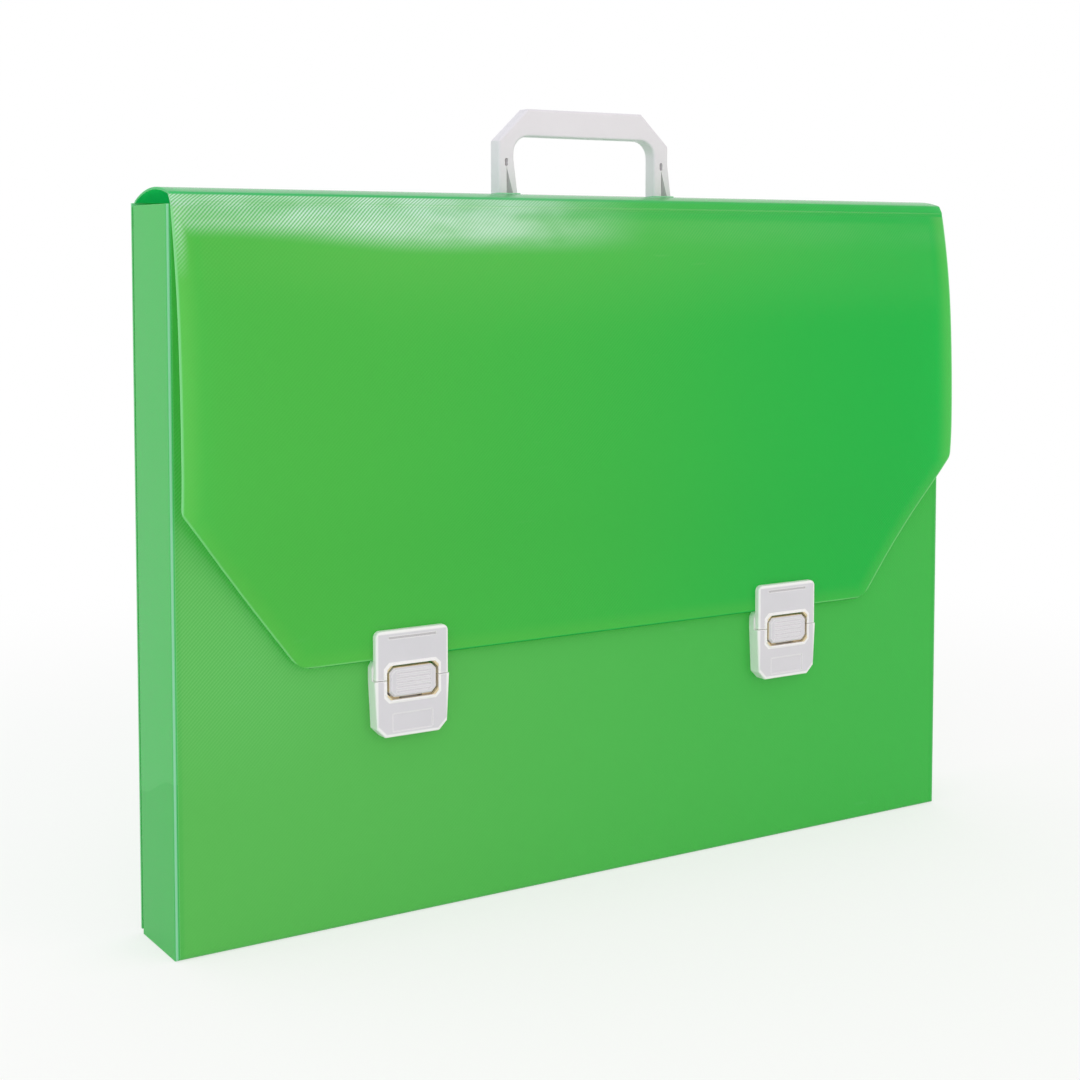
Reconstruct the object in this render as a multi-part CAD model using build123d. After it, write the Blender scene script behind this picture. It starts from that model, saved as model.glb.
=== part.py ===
from build123d import *
from math import cos, pi, radians, sin, sqrt
import os

# Document case in creased polypropylene sheet, lid closed and locked, handle pulled up.
# X runs along the width, the front faces -Y and Z is up. The origin is under the middle of the base.
# On the front, "out" is the distance in front of the front panel's outer face.

# Case body
case_width = 380.0
case_depth = 37.0
case_height = 280.0  # floor to the two top creases
sheet = 1.0
fold_inside = 0.5  # inside radius of every fold
front_panel_drop = 2.0  # front panel's top edge, under the crease
gusset_drop = 1.0  # gusset's top edge, under the crease
flange_width = 18.0
flange_low_relief = 6.0
flange_top_relief = 8.0
tuck_tab_front = 66.0
tuck_tab_back = 56.0
tuck_tab_gap = 0.3
tuck_tab_end_gap = 1.5

# Rivets
rivets_per_side = 2
rivet_radius = 2.0
rivet_head_radius = 4.0
rivet_head = 1.2
rivet_end_margin = 60.0
fixed_gap = 0.05  # round a shank, pin or tab that is fixed in its hole
cut_past = 1.0  # how far a cut runs past the face

# Top creases
crease_gap = 0.5  # between the two sheets at a hinge crease
lid_gap = 0.4  # lid's inside to the front panel, at the crease
lid_inset = 1.0  # at each side
spine_rise = 5.0

# Lid flap
flap_edge_lift = 8.0  # flap's lower edge over the lock seam
flap_chamfer_height = 63.0
flap_chamfer_width = 48.0
flap_side_radius = 6.0
flap_bottom_radius = 12.0
flap_lean = 12.0  # degrees out of vertical, where it leaves the crease
flap_bow = 9.2
flap_bow_drop = 96.0  # from the crease down to the fullest point
flap_flat = 14.0  # flat length that the locks clamp

# Locks
lock_offset = 94.0
seam_height = 96.0
seam_gap = 0.3
lid_standoff = 2.5  # flap's inside to the front panel, at the locks
lock_edge_radius = 0.8
hasp_width = 32.0
hasp_height = 19.5
hasp_thickness = 2.5
hasp_corner = 2.5
hasp_groove_length = 21.0
hasp_groove_width = 0.9
hasp_groove_depth = 0.4
hasp_groove_drop = 2.9
hasp_pin_radius = 1.5
hasp_pin_pitch = 18.0
hasp_pin_height = 5.5  # over the flap's edge
hasp_plate_width = 28.0
hasp_plate_height = 9.0
hasp_plate_thickness = 1.6
housing_width = 33.0
housing_bottom_width = 31.0
housing_drop = 22.5  # under the seam
housing_corner = 3.6
housing_shoulder = 1.3
housing_wall = 1.5
housing_front_wall = 1.4
housing_panel_width = 17.4
housing_panel_height = 7.0
housing_panel_lift = 2.2  # over the housing's lower edge
housing_panel_depth = 0.3
lap_gap = 0.2
pocket_width = 29.2
lock_tab_width = 0.9
lock_tab_height = 4.0
lock_tab_offset = 15.05
lock_tab_heights = (-14.0, 4.0)  # over the seam
lock_plate_width = 36.0
lock_plate_low = 20.0
lock_plate_high = 7.0
lock_plate_thickness = 1.5

# Button and its opening
opening_width = 22.6
opening_height = 13.4
opening_corner = 2.6
opening_round = 1.0
opening_drop = 1.0  # opening's middle, under the seam
bead_width = 1.0
bead_height = 0.4
bead_bevel = 0.25
button_gap = 0.9
button_travel = 1.8
button_proud = 0.8
button_edge = 0.9
button_round = 1.2
button_ribs = 5
button_rib_pitch = 1.8
button_rib_width = 0.7
button_rib_length = 15.0
button_rib_depth = 0.3
button_lip_width = 4.0
button_lip_offset = 7.0
button_lip_height = 1.6
button_lip_thickness = 0.9

# Hooks and catch
run_gap = 0.3
hook_offset = 12.9
hook_width = 2.4
hook_arm = 1.6
hook_reach_gap = 0.5
barb_height = 1.8
barb_thickness = 1.0
barb_lift = 1.1  # barb's lower edge over the seam
catch_bite = 1.5  # how far the catch stands up behind the barb
catch_plate = 1.0
catch_width = 27.8
catch_depth_under_seam = 13.0
ramp_width = 7.0
ramp_depth = 2.8
ramp_foot = 3.7  # ramp's outer end, under the seam
ramp_gap = 0.2
wedge_width = 6.0
wedge_depth = 1.1
wedge_top = 1.0  # over the seam
stop_rib = 1.0
stop_drop = 9.6  # stop rib's upper face, under the seam
stop_inner = 5.0
stop_outer = 10.5
ledge_height = 1.2
ledge_inner = 5.2
ledge_outer = 8.8
ledge_depth = 1.6
lug_height = 5.3  # lug's foot, under the catch plate's top

# Catch spring
spring_wire = 0.5
spring_outer = 3.6
spring_turns = 4
spring_sides = 4
spring_seat = 2.5  # height of the catch's foot, over the spring

# Handle
handle_width = 85.0
handle_height = 35.0  # over the spine
grip_height = 11.3
grip_corner_run = 14.0
grip_corner_drop = 13.3
grip_corner_radius = 0.8
grip_inner_radius = 7.0
leg_width = 7.4
leg_depth = 7.0
handle_edge = 1.0
leg_hole_width = 1.6
leg_hole_length = 3.4
leg_hole_height = 13.0
slit_top = 11.5
slit_width = 3.3
tine_flare = 1.9
tine_flare_top = 14.0
barb_step = 1.2
foot_barb_height = 1.6
foot_length = 5.0
slot_gap = 0.3
slot_lip_width = 1.3
slot_lip_height = 0.7
slot_lip_bevel = 0.3

# Worked out from the sizes above
flap_edge_height = seam_height + flap_edge_lift
flap_corner_height = flap_edge_height + flap_chamfer_height
fold_radius = fold_inside + sheet
fold_middle = fold_inside + sheet / 2
half_width = case_width / 2
front_face = -case_depth / 2
back_face = case_depth / 2
flat_half_width = half_width - fold_radius
flat_half_depth = case_depth / 2 - fold_radius
rear_crease = (back_face - sheet / 2, case_height)
front_crease = (front_face - lid_gap - sheet / 2, case_height)
crease_start = sheet / 2 + crease_gap
lid_half_width = half_width - lid_inset
spine_top = case_height + spine_rise + sheet / 2
lid_outer = lid_standoff + sheet
lock_front = lid_outer + hasp_thickness
lap_front = lid_outer - lap_gap
housing_low = seam_height - housing_drop
housing_top = flap_edge_height - seam_gap
housing_inside = lock_front - housing_front_wall
hasp_low = seam_height + seam_gap
hasp_top = seam_height + hasp_height
opening_height_middle = seam_height - opening_drop
catch_back = run_gap
catch_face = catch_back + catch_plate
catch_low = seam_height - catch_depth_under_seam
button_back = catch_face + run_gap + button_travel
button_face = lock_front + button_proud
barb_low = seam_height + barb_lift
arm_low = barb_low + barb_height
arm_high = arm_low + hook_arm
barb_face = hook_reach_gap + barb_thickness
catch_sides_top = barb_low - run_gap
lug_back = barb_face + lap_gap
lug_front = lap_front - lap_gap - 2 * run_gap
lug_top = barb_low + catch_bite
lug_low = catch_sides_top - lug_height
leg_middle = handle_width / 2 - leg_width / 2
barb_top = -sheet - 2 * slot_gap  # from the spine's top


def side_faced(profile, half_length):
    """Solid from a (y, z) profile, extruded to both sides of the middle."""
    return extrude(Plane.YZ * profile, amount=half_length, both=True)


def front_plane(out):
    """Plane with X to the right and Z up, this far in front of the front panel."""
    return Plane(origin=(0, front_face - out, 0), x_dir=(1, 0, 0), z_dir=(0, -1, 0))


def slab(outline, out_from, out_to):
    """Solid from an (x, z) outline, between two distances in front of the front panel."""
    return extrude(front_plane(out_from) * outline, amount=out_to - out_from)


def rectangle(x_from, x_to, z_from, z_to):
    """Flat rectangle between two corners."""
    middle = Pos((x_from + x_to) / 2, (z_from + z_to) / 2)
    return middle * Rectangle(x_to - x_from, z_to - z_from)


def block(x_range, y_range, z_range):
    """Box between two corners."""
    ranges = (x_range, y_range, z_range)
    middle = [(low + high) / 2 for low, high in ranges]
    size = [high - low for low, high in ranges]
    return Pos(*middle) * Box(*size)


def depth_profile(points, x_middle, width):
    """Solid from (out, z) points, extruded along X about x_middle."""
    corners = [(front_face - out, z) for out, z in points]
    face = make_face(Polyline(*corners, close=True))
    return extrude(Plane.YZ.offset(x_middle - width / 2) * face, amount=width)


def mirrored(shape):
    """The same shape on the other side of the case."""
    return mirror(shape, about=Plane.YZ)


def at_lock(shape, side):
    """Moves a lock piece from the middle to the left lock, -1, or the right lock, +1."""
    return Pos(side * lock_offset, 0, 0) * shape


def rivet_places():
    """Heights of the rivets in one flange."""
    low = rivet_end_margin
    high = case_height - rivet_end_margin
    step = (high - low) / (rivets_per_side - 1)
    return [low + step * index for index in range(rivets_per_side)]


def front_panel():
    """Front of the sheet, with its bottom fold and the slots for the lock tabs."""
    fold = CenterArc((-flat_half_depth, fold_radius), fold_middle, 180, 90)
    wall = Line(fold @ 0, (front_face + sheet / 2, case_height - front_panel_drop))
    panel = side_faced(trace(fold + wall, line_width=sheet), flat_half_width)
    for side in (-1, 1):
        panel -= at_lock(lock_tabs(fixed_gap), side)
    return panel


def back_panel():
    """Back of the sheet, with its bottom fold, rivet holes and the rounded rear crease edge."""
    fold = CenterArc((flat_half_depth, fold_radius), fold_middle, 270, 90)
    wall = Line(fold @ 1, rear_crease)
    profile = trace(fold + wall, line_width=sheet) + Pos(*rear_crease) * Circle(sheet / 2)
    panel = side_faced(profile, flat_half_width)
    edge = block((flat_half_width, half_width), (back_face - sheet, back_face), (fold_radius, case_height))
    panel += edge + mirrored(edge)
    return panel - rivet_holes()


def base_panel():
    """Narrow bottom that the case stands on."""
    half_length = half_width - sheet - tuck_tab_gap - fold_radius
    return block((-half_length, half_length), (-flat_half_depth, flat_half_depth), (0, sheet))


def left_gusset():
    """Side wall with its front fold, and a flange behind that lies on the back panel."""
    flange_face = back_face - sheet
    fold_back = flange_face - fold_radius
    front_fold = CenterArc((-flat_half_width, -flat_half_depth), fold_middle, 180, 90)
    rear_fold = CenterArc((-flat_half_width, fold_back), fold_middle, 90, 90)
    web = Line(front_fold @ 0, rear_fold @ 1)
    flange = Line(rear_fold @ 0, (-flat_half_width + flange_width, flange_face - sheet / 2))
    height = case_height - gusset_drop
    wall = extrude(trace(front_fold + web + rear_fold + flange, line_width=sheet), amount=height)
    side_view = rectangle(front_face, flange_face, 0, height)
    front_foot = side_view.vertices().sort_by(Axis.X)[:2].sort_by(Axis.Y)[0]
    wall &= side_faced(fillet(front_foot, fold_radius), half_width)
    reach = (-half_width, -half_width + flange_width + fold_radius)
    for low, high in ((0, flange_low_relief), (height - flange_top_relief, height)):
        wall -= block(reach, (fold_back, back_face), (low, high))
    return wall - rivet_holes()


def left_tuck_tab():
    """End of the base, folded up inside the gusset, with a slanted top edge."""
    outer = half_width - sheet - tuck_tab_gap
    fold = CenterArc((fold_radius - outer, fold_radius), fold_middle, 180, 90)
    wall = Line(fold @ 0, (sheet / 2 - outer, tuck_tab_front))
    profile = Plane.XZ * trace(fold + wall, line_width=sheet)
    half_length = flat_half_depth - tuck_tab_end_gap
    tab = extrude(profile, amount=half_length, both=True)
    side_view = make_face(Polyline(
        (-half_length, 0), (half_length, 0), (half_length, tuck_tab_back), (-half_length, tuck_tab_front),
        close=True,
    ))
    return tab & side_faced(side_view, half_width)


def rivet_axis_offset():
    """Rivets stand in the middle of the flange."""
    return flat_half_width - flange_width / 2


def rivet_holes():
    """Clearance for every rivet shank."""
    holes = []
    for side in (-1, 1):
        for height in rivet_places():
            axis = Pos(side * rivet_axis_offset(), back_face, height) * Rot(90, 0, 0)
            holes.append(axis * Cylinder(rivet_radius + fixed_gap, 6 * sheet))
    return Part() + holes


def gusset_rivets():
    """Plastic rivets through the back panel and the gusset flanges."""
    grip = 2 * sheet
    crown = rivet_head_radius - rivet_head / 2
    corners = [
        (0, -rivet_head), (crown, -rivet_head), (rivet_head_radius, 0), (rivet_radius, 0),
        (rivet_radius, grip), (rivet_head_radius, grip), (crown, grip + rivet_head), (0, grip + rivet_head),
    ]
    profile = make_face(Polyline(*corners, close=True))
    rivet = revolve(Plane.XZ * profile, Axis.Z)
    group = []
    for side in (-1, 1):
        for height in rivet_places():
            group.append(Pos(side * rivet_axis_offset(), back_face, height) * Rot(90, 0, 0) * rivet)
    return Compound(children=group)


def slot_range():
    """How far a handle slot reaches left and right of its leg's middle."""
    return (-leg_width / 2 - slot_gap, leg_width / 2 + tine_flare + slot_gap)


def spine_panel():
    """Arched strip from the rear crease to the front crease, with two lipped handle slots."""
    chord = rear_crease[0] - front_crease[0]
    radius = (chord ** 2 / 4 + spine_rise ** 2) / (2 * spine_rise)
    middle = (rear_crease[0] + front_crease[0]) / 2
    crown = (middle, case_height + spine_rise)
    whole = ThreePointArc(front_crease, crown, rear_crease)
    arch = whole.trim(0, 1 - crease_start / whole.length)
    profile = trace(arch, line_width=sheet) + Pos(*front_crease) * Circle(sheet / 2)
    spine = side_faced(profile, lid_half_width)
    low, high = slot_range()
    half_slot = leg_depth / 2 + slot_gap
    for side in (-1, 1):
        left = side * leg_middle + low
        right = side * leg_middle + high
        half_lip = half_slot + slot_lip_width
        lip = block(
            (left - slot_lip_width, right + slot_lip_width), (middle - half_lip, middle + half_lip),
            (spine_top - sheet, spine_top + slot_lip_height),
        )
        lip = fillet(lip.edges().filter_by(Axis.Z), slot_lip_width)
        lip = chamfer(lip.faces().sort_by(Axis.Z)[-1].edges(), slot_lip_bevel)
        spine += lip
        slot_heights = (case_height, spine_top + slot_lip_height + cut_past)
        spine -= block((left, right), (middle - half_slot, middle + half_slot), slot_heights)
    return spine


def arc_pair(start, leaving, end, arriving):
    """Two arcs, tangent to each other, from one point and direction to another."""
    chord = end - start
    turning = leaving + arriving
    square = 4 - turning.dot(turning)
    across = chord.dot(turning)
    reach = (sqrt(across ** 2 + square * chord.dot(chord)) - across) / square
    joint = (start + end + (leaving - arriving) * reach) * 0.5
    along = (chord - turning * reach).normalized()
    return [TangentArc(start, joint, tangent=leaving), TangentArc(joint, end, tangent=along)]


def flap_line():
    """Flap's middle line: leans out of the crease, bows, and comes back to lie flat at the locks."""
    lean = radians(flap_lean)
    leaving = Vector(-sin(lean), -cos(lean))
    down = Vector(0, -1)
    start = Vector(*front_crease) + leaving * crease_start
    fullest = Vector(front_face - flap_bow, case_height - flap_bow_drop)
    flat_y = front_face - lid_standoff - sheet / 2
    flat_top = Vector(flat_y, flap_edge_height + flap_flat)
    middle = (fullest + flat_top) * 0.5
    out = TangentArc(fullest, middle, tangent=down)
    back = TangentArc(middle, flat_top, tangent=out % 1)
    flat = Line(flat_top, (flat_y, flap_edge_height))
    return Curve() + arc_pair(start, leaving, fullest, down) + [out, back, flat]


def flap_outline():
    """Front view of the flap, with its two large lower chamfers."""
    foot = lid_half_width - flap_chamfer_width
    outline = make_face(Polyline(
        (-lid_half_width, case_height + sheet), (lid_half_width, case_height + sheet),
        (lid_half_width, flap_corner_height), (foot, flap_edge_height),
        (-foot, flap_edge_height), (-lid_half_width, flap_corner_height), close=True,
    ))
    outline = fillet(outline.vertices().group_by(Axis.Y)[1], flap_side_radius)
    return fillet(outline.vertices().group_by(Axis.Y)[0], flap_bottom_radius)


def flap_panel():
    """Lid flap, with the holes for the hasps' pins."""
    bent = side_faced(trace(flap_line(), line_width=sheet), lid_half_width)
    flap = bent & slab(flap_outline(), -case_depth, case_depth)
    for side in (-1, 1):
        flap -= at_lock(hasp_pins(fixed_gap), side)
    return flap


def opening_outline():
    """Outline of the button opening, half in the hasp and half in the housing."""
    outline = Rectangle(opening_width, opening_height)
    outline = chamfer(outline.vertices(), opening_corner)
    return Pos(0, opening_height_middle) * fillet(outline.vertices(), opening_round)


def opening_bead():
    """Low raised rim round the button opening."""
    ring = offset(opening_outline(), bead_width) - opening_outline()
    bead = slab(ring, lock_front - bead_height, lock_front + bead_height)
    rim = bead.faces().sort_by(Axis.Y)[0]
    return chamfer(rim.edges(), bead_bevel)


def hasp_pins(gap):
    """Pins from the hasp through the flap and the plate behind it, widened by a gap."""
    inner = lid_standoff - hasp_plate_thickness
    height = flap_edge_height + hasp_pin_height
    pins = Part()
    for side in (-1, 1):
        outline = Pos(side * hasp_pin_pitch / 2, height) * Circle(hasp_pin_radius + gap)
        pins += slab(outline, inner, lid_outer)
    return pins


def hasp():
    """Upper lock plate with half of the button opening, two pins and two hooks behind."""
    half = hasp_width / 2
    outline = rectangle(-half, half, hasp_low, hasp_top)
    outline = fillet(outline.vertices().group_by(Axis.Y)[-1], hasp_corner)
    plate = slab(outline, lid_outer, lock_front)
    front = plate.faces().sort_by(Axis.Y)[0]
    plate = fillet(front.edges().group_by(Axis.Z)[1:], lock_edge_radius)
    upper = slab(rectangle(-half, half, hasp_low, hasp_top), lid_outer, lock_front + cut_past)
    plate += opening_bead() & upper
    plate -= slab(opening_outline(), lid_outer - cut_past, lock_front + cut_past)
    groove = Pos(0, hasp_top - hasp_groove_drop) * Rectangle(hasp_groove_length, hasp_groove_width)
    plate -= slab(groove, lock_front - hasp_groove_depth, lock_front)
    nose = barb_thickness / 2
    hook = (
        (lid_outer, arm_high), (hook_reach_gap, arm_high), (hook_reach_gap, barb_low + nose),
        (hook_reach_gap + nose, barb_low), (barb_face, barb_low), (barb_face, arm_low), (lid_outer, arm_low),
    )
    for side in (-1, 1):
        plate += depth_profile(hook, side * hook_offset, hook_width)
    return plate + hasp_pins(0)


def hasp_backplate():
    """Plate behind the flap that the hasp's pins are staked in."""
    half = hasp_plate_width / 2
    middle = flap_edge_height + hasp_pin_height
    outline = rectangle(-half, half, middle - hasp_plate_height / 2, middle + hasp_plate_height / 2)
    outline = chamfer(outline.vertices(), hasp_corner)
    return slab(outline, lid_standoff - hasp_plate_thickness, lid_standoff) - hasp_pins(fixed_gap)


def housing_outline():
    """Front view of the lock housing: chamfered foot, sides that taper down, small shoulders."""
    foot = housing_bottom_width / 2
    half = housing_width / 2
    right = [
        (foot - housing_corner, housing_low), (foot, housing_low + housing_corner), (half, seam_height),
        (half, housing_top - 2 * housing_shoulder), (half - housing_shoulder, housing_top),
    ]
    left = [(-x, z) for x, z in reversed(right)]
    outline = make_face(Polyline(*right, *left, close=True))
    return fillet(outline.vertices().group_by(Axis.Y)[0], lock_edge_radius)


def lock_tabs(gap):
    """Tabs from the housing's side walls to the plate inside the case, widened by a gap."""
    tabs = Part()
    half_width_here = lock_tab_width / 2 + gap
    half_height = lock_tab_height / 2 + gap
    for side in (-1, 1):
        for lift in lock_tab_heights:
            x = side * lock_tab_offset
            z = seam_height + lift
            outline = rectangle(x - half_width_here, x + half_width_here, z - half_height, z + half_height)
            tabs += slab(outline, -sheet - lock_plate_thickness, 0)
    return tabs


def lock_housing():
    """Lower lock body: shell open at the back and top, with the lower half of the opening."""
    outline = housing_outline()
    body = slab(outline, 0, lock_front)
    front = body.faces().sort_by(Axis.Y)[0]
    body = fillet(front.edges(), lock_edge_radius)
    half = housing_width / 2
    low_half = slab(rectangle(-half, half, housing_low, seam_height), 0, lock_front + cut_past)
    body += opening_bead() & low_half
    above_seam = rectangle(-half - cut_past, half + cut_past, seam_height, housing_top + cut_past)
    body -= slab(above_seam, lap_front, lock_front + cut_past)
    body -= slab(offset(outline, -housing_wall), 0, housing_inside)
    pocket = pocket_width / 2
    body -= slab(rectangle(-pocket, pocket, seam_height, housing_top + cut_past), 0, lock_front + cut_past)
    body -= slab(opening_outline(), 0, lock_front + cut_past)
    panel_middle = housing_low + housing_panel_lift + housing_panel_height / 2
    panel = Pos(0, panel_middle) * Rectangle(housing_panel_width, housing_panel_height)
    body -= slab(panel, lock_front - housing_panel_depth, lock_front)
    for side in (-1, 1):
        body += stop_and_guide(side)
    return body + lock_tabs(0)


def stop_and_guide(side):
    """Rib that keeps the catch down on the panel, and the stop over its ledge."""
    top = seam_height - stop_drop
    inner, outer = sorted((side * stop_inner, side * stop_outer))
    guide_inner, guide_outer = sorted((side * (stop_outer - stop_rib), side * stop_outer))
    guide = rectangle(guide_inner, guide_outer, housing_low + housing_wall, top)
    stop = rectangle(inner, outer, top - stop_rib, top)
    return slab(guide + stop, catch_face + lap_gap, housing_inside)


def lock_backplate():
    """Plate inside the case that the housing's tabs are staked in."""
    half = lock_plate_width / 2
    outline = rectangle(-half, half, seam_height - lock_plate_low, seam_height + lock_plate_high)
    outline = chamfer(outline.vertices(), hasp_corner)
    return slab(outline, -sheet - lock_plate_thickness, -sheet) - lock_tabs(fixed_gap)


def push_button():
    """Button with a ribbed face, two lips that keep it in the housing, and the wedge behind."""
    width = opening_width - 2 * button_gap
    height = opening_height - 2 * button_gap
    outline = Rectangle(width, height)
    outline = chamfer(outline.vertices(), opening_corner - button_gap / 2)
    outline = Pos(0, opening_height_middle) * fillet(outline.vertices(), button_round)
    button = slab(outline, button_back, button_face)
    front = button.faces().sort_by(Axis.Y)[0]
    button = chamfer(front.edges(), button_edge)
    first = opening_height_middle - button_rib_pitch * (button_ribs - 1) / 2
    for index in range(button_ribs):
        groove = Pos(0, first + index * button_rib_pitch) * Rectangle(button_rib_length, button_rib_width)
        button -= slab(groove, button_face - button_rib_depth, button_face)
    foot = opening_height_middle - height / 2
    for side in (-1, 1):
        x = side * button_lip_offset
        lip = Pos(x, foot) * Rectangle(button_lip_width, 2 * button_lip_height)
        button += slab(lip, button_back, button_back + button_lip_thickness)
    tip = button_back - wedge_depth
    high = seam_height + wedge_top
    slope_end = catch_back + ramp_depth + button_travel + ramp_gap
    slope = ((tip, ramp_height(tip) + ramp_gap), (slope_end, ramp_height(slope_end) + ramp_gap))
    notch = (*slope, (slope_end, foot - button_lip_height), (tip, foot - button_lip_height))
    button -= depth_profile(notch, 0, ramp_width + 2 * run_gap)
    wedge = (slope[0], (button_back, ramp_height(button_back) + ramp_gap), (button_back, high), (tip, high))
    return button + depth_profile(wedge, 0, wedge_width)


def ramp_height(out):
    """Height of the catch's 45 degree ramp, at a distance in front of the front panel."""
    return seam_height - ramp_foot + (catch_back + ramp_depth - out)


def catch_slider():
    """Catch: plate with a ramp in the middle, a lug behind each hook, and two ledges."""
    half = catch_width / 2
    sides = rectangle(-half, half, catch_low, catch_sides_top)
    sides -= rectangle(-ramp_width / 2, ramp_width / 2, catch_low, catch_sides_top)
    slider = slab(sides, catch_back, catch_face)
    seat_front = catch_back + spring_outer
    seat_top = catch_low + spring_seat
    ramp_front = catch_back + ramp_depth
    ramp = (
        (catch_back, catch_low), (seat_front, catch_low), (seat_front, seat_top), (ramp_front, seat_top),
        (ramp_front, ramp_height(ramp_front)), (catch_back, ramp_height(catch_back)),
    )
    slider += depth_profile(ramp, 0, ramp_width)
    lead = (lug_front - lug_back) / 2
    lug = (
        (catch_face, lug_low), (lug_front, lug_low), (lug_front, lug_top - lead), (lug_back + lead, lug_top),
        (lug_back, lug_top), (lug_back, catch_sides_top), (catch_face, catch_sides_top),
    )
    ledge_top = seam_height - stop_drop - stop_rib - run_gap
    for side in (-1, 1):
        slider += depth_profile(lug, side * hook_offset, hook_width)
        inner, outer = sorted((side * ledge_inner, side * ledge_outer))
        ledge = rectangle(inner, outer, ledge_top - ledge_height, ledge_top)
        slider += slab(ledge, catch_face, catch_face + ledge_depth)
    return slider


def coil_point(quarter, pitch, radius):
    """Point of a helix about Z, and the helix's direction there, after so many quarter turns."""
    angle = radians(90 * quarter)
    point = Vector(radius * cos(angle), radius * sin(angle), pitch * quarter / 4)
    heading = Vector(-radius * sin(angle), radius * cos(angle), pitch / (2 * pi))
    return point, heading.normalized()


def coil_path(radius, pitch, turns):
    """Helix as two tangent arcs to each quarter turn."""
    arcs = []
    for quarter in range(4 * turns):
        start, leaving = coil_point(quarter, pitch, radius)
        end, arriving = coil_point(quarter + 1, pitch, radius)
        arcs += arc_pair(start, leaving, end, arriving)
    return arcs


def least_coil_gap(arcs, wire, turns):
    """Least gap between the coil's turns, measured on points along its path."""
    points = [arc @ share for arc in arcs for share in (0, 0.2, 0.4, 0.6, 0.8)]
    half_turn = len(points) // (2 * turns)
    gaps = []
    for index, point in enumerate(points):
        gaps += [(other - point).length for other in points[index + half_turn:]]
    return min(gaps) - wire


def lock_spring():
    """Coil spring from the housing's floor to the catch's foot."""
    floor = housing_low + housing_wall
    radius = (spring_outer - spring_wire) / 2
    pitch = (catch_low - floor - spring_wire) / spring_turns
    arcs = coil_path(radius, pitch, spring_turns)
    start, heading = coil_point(0, pitch, radius)
    section = Plane(origin=start, z_dir=heading) * RegularPolygon(spring_wire / 2, spring_sides)
    coil = sweep(section, path=Wire(arcs))
    gap = least_coil_gap(arcs, spring_wire, spring_turns)
    print("lock spring: least gap between turns", round(gap, 3), "mm")
    return Pos(0, front_face - catch_back - spring_outer / 2, floor + spring_wire / 2) * coil


def bow_outline():
    """Grip with chamfered corners and two legs, down to the barbs; each leg flares to the right."""
    half = handle_width / 2
    inner_half = half - leg_width
    outer = make_face(Polyline(
        (-half, barb_top), (half + tine_flare, barb_top), (half + tine_flare, 0), (half, tine_flare_top),
        (half, handle_height - grip_corner_drop), (half - grip_corner_run, handle_height),
        (grip_corner_run - half, handle_height), (-half, handle_height - grip_corner_drop), close=True,
    ))
    outer = fillet(outer.vertices().sort_by(Axis.Y)[-4:], grip_corner_radius)
    inner = make_face(Polyline(
        (tine_flare - inner_half, 2 * barb_top), (inner_half, 2 * barb_top),
        (inner_half, handle_height - grip_height), (-inner_half, handle_height - grip_height),
        (-inner_half, tine_flare_top), (tine_flare - inner_half, 0), close=True,
    ))
    return outer - fillet(inner.vertices().sort_by(Axis.Y)[-2:], grip_inner_radius)


def foot_outline():
    """Barbed end of one leg, under the spine, about the leg's middle."""
    left = -leg_width / 2
    right = leg_width / 2 + tine_flare
    low, high = slot_range()
    foot_low = barb_top - foot_length
    barb_low_edge = barb_top - foot_barb_height
    return make_face(Polyline(
        (low - barb_step, barb_top), (high + barb_step, barb_top), (high + barb_step, barb_low_edge),
        (right, foot_low), (left, foot_low), (low - barb_step, barb_low_edge), close=True,
    ))


def slit_outline():
    """Hole in one leg and the slit under it, which lets the two tines spring together."""
    slit = make_face(Polyline(
        (0, slit_top), (slit_width, 0), (slit_width, -case_height), (0, -case_height), close=True,
    ))
    return slit + Pos(0, leg_hole_height) * Rot(0, 0, 90) * SlotOverall(leg_hole_length, leg_hole_width)


def handle():
    """Handle: grip and two forked legs that slide in the spine."""
    middle = (rear_crease[0] + front_crease[0]) / 2
    plane = Plane(origin=(0, middle, spine_top), x_dir=(1, 0, 0), z_dir=(0, -1, 0))
    bow = extrude(plane * bow_outline(), amount=leg_depth / 2, both=True)
    edges = bow.faces().filter_by(Axis.Y).edges()
    bow = fillet(edges.group_by(Axis.Z)[1:], handle_edge)
    for side in (-1, 1):
        leg = plane * Pos(side * leg_middle, 0)
        bow += extrude(leg * foot_outline(), amount=leg_depth / 2, both=True)
        bow -= extrude(leg * slit_outline(), amount=leg_depth, both=True)
    return bow


def save(shape, name):
    """Writes one node's STEP file."""
    export_step(shape, f"parts/{name}.step")


os.makedirs("parts", exist_ok=True)
save(front_panel(), "front_panel")
save(back_panel(), "back_panel")
save(base_panel(), "base_panel")
save(left_gusset(), "left_gusset")
save(mirrored(left_gusset()), "right_gusset")
save(left_tuck_tab(), "left_tuck_tab")
save(mirrored(left_tuck_tab()), "right_tuck_tab")
save(gusset_rivets(), "gusset_rivets")
save(spine_panel(), "spine_panel")
save(flap_panel(), "flap_panel")
save(handle(), "handle")
lock_pieces = {
    "hasp": hasp(),
    "hasp_backplate": hasp_backplate(),
    "lock_housing": lock_housing(),
    "lock_backplate": lock_backplate(),
    "push_button": push_button(),
    "catch_slider": catch_slider(),
    "lock_spring": lock_spring(),
}
for side_name, side in (("left", -1), ("right", 1)):
    for piece_name, piece in lock_pieces.items():
        save(at_lock(piece, side), f"{side_name}_{piece_name}")
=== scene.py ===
# %% [markdown]
# # A plastic document case
#
# The real object is a flat case for papers, folded from one sheet of green polypropylene a
# millimetre thick. A lid flap comes over the top and down the front, two white push-button locks
# hold it, and a white handle pulls up through the arched spine.
#
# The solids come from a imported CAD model, in metres, with the case standing on its base at the
# origin and its front towards -Y. This lesson adds what solids can't say: how the sheet and the
# mouldings look, the film at the creases, and the smooth bow of the lid.

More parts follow.
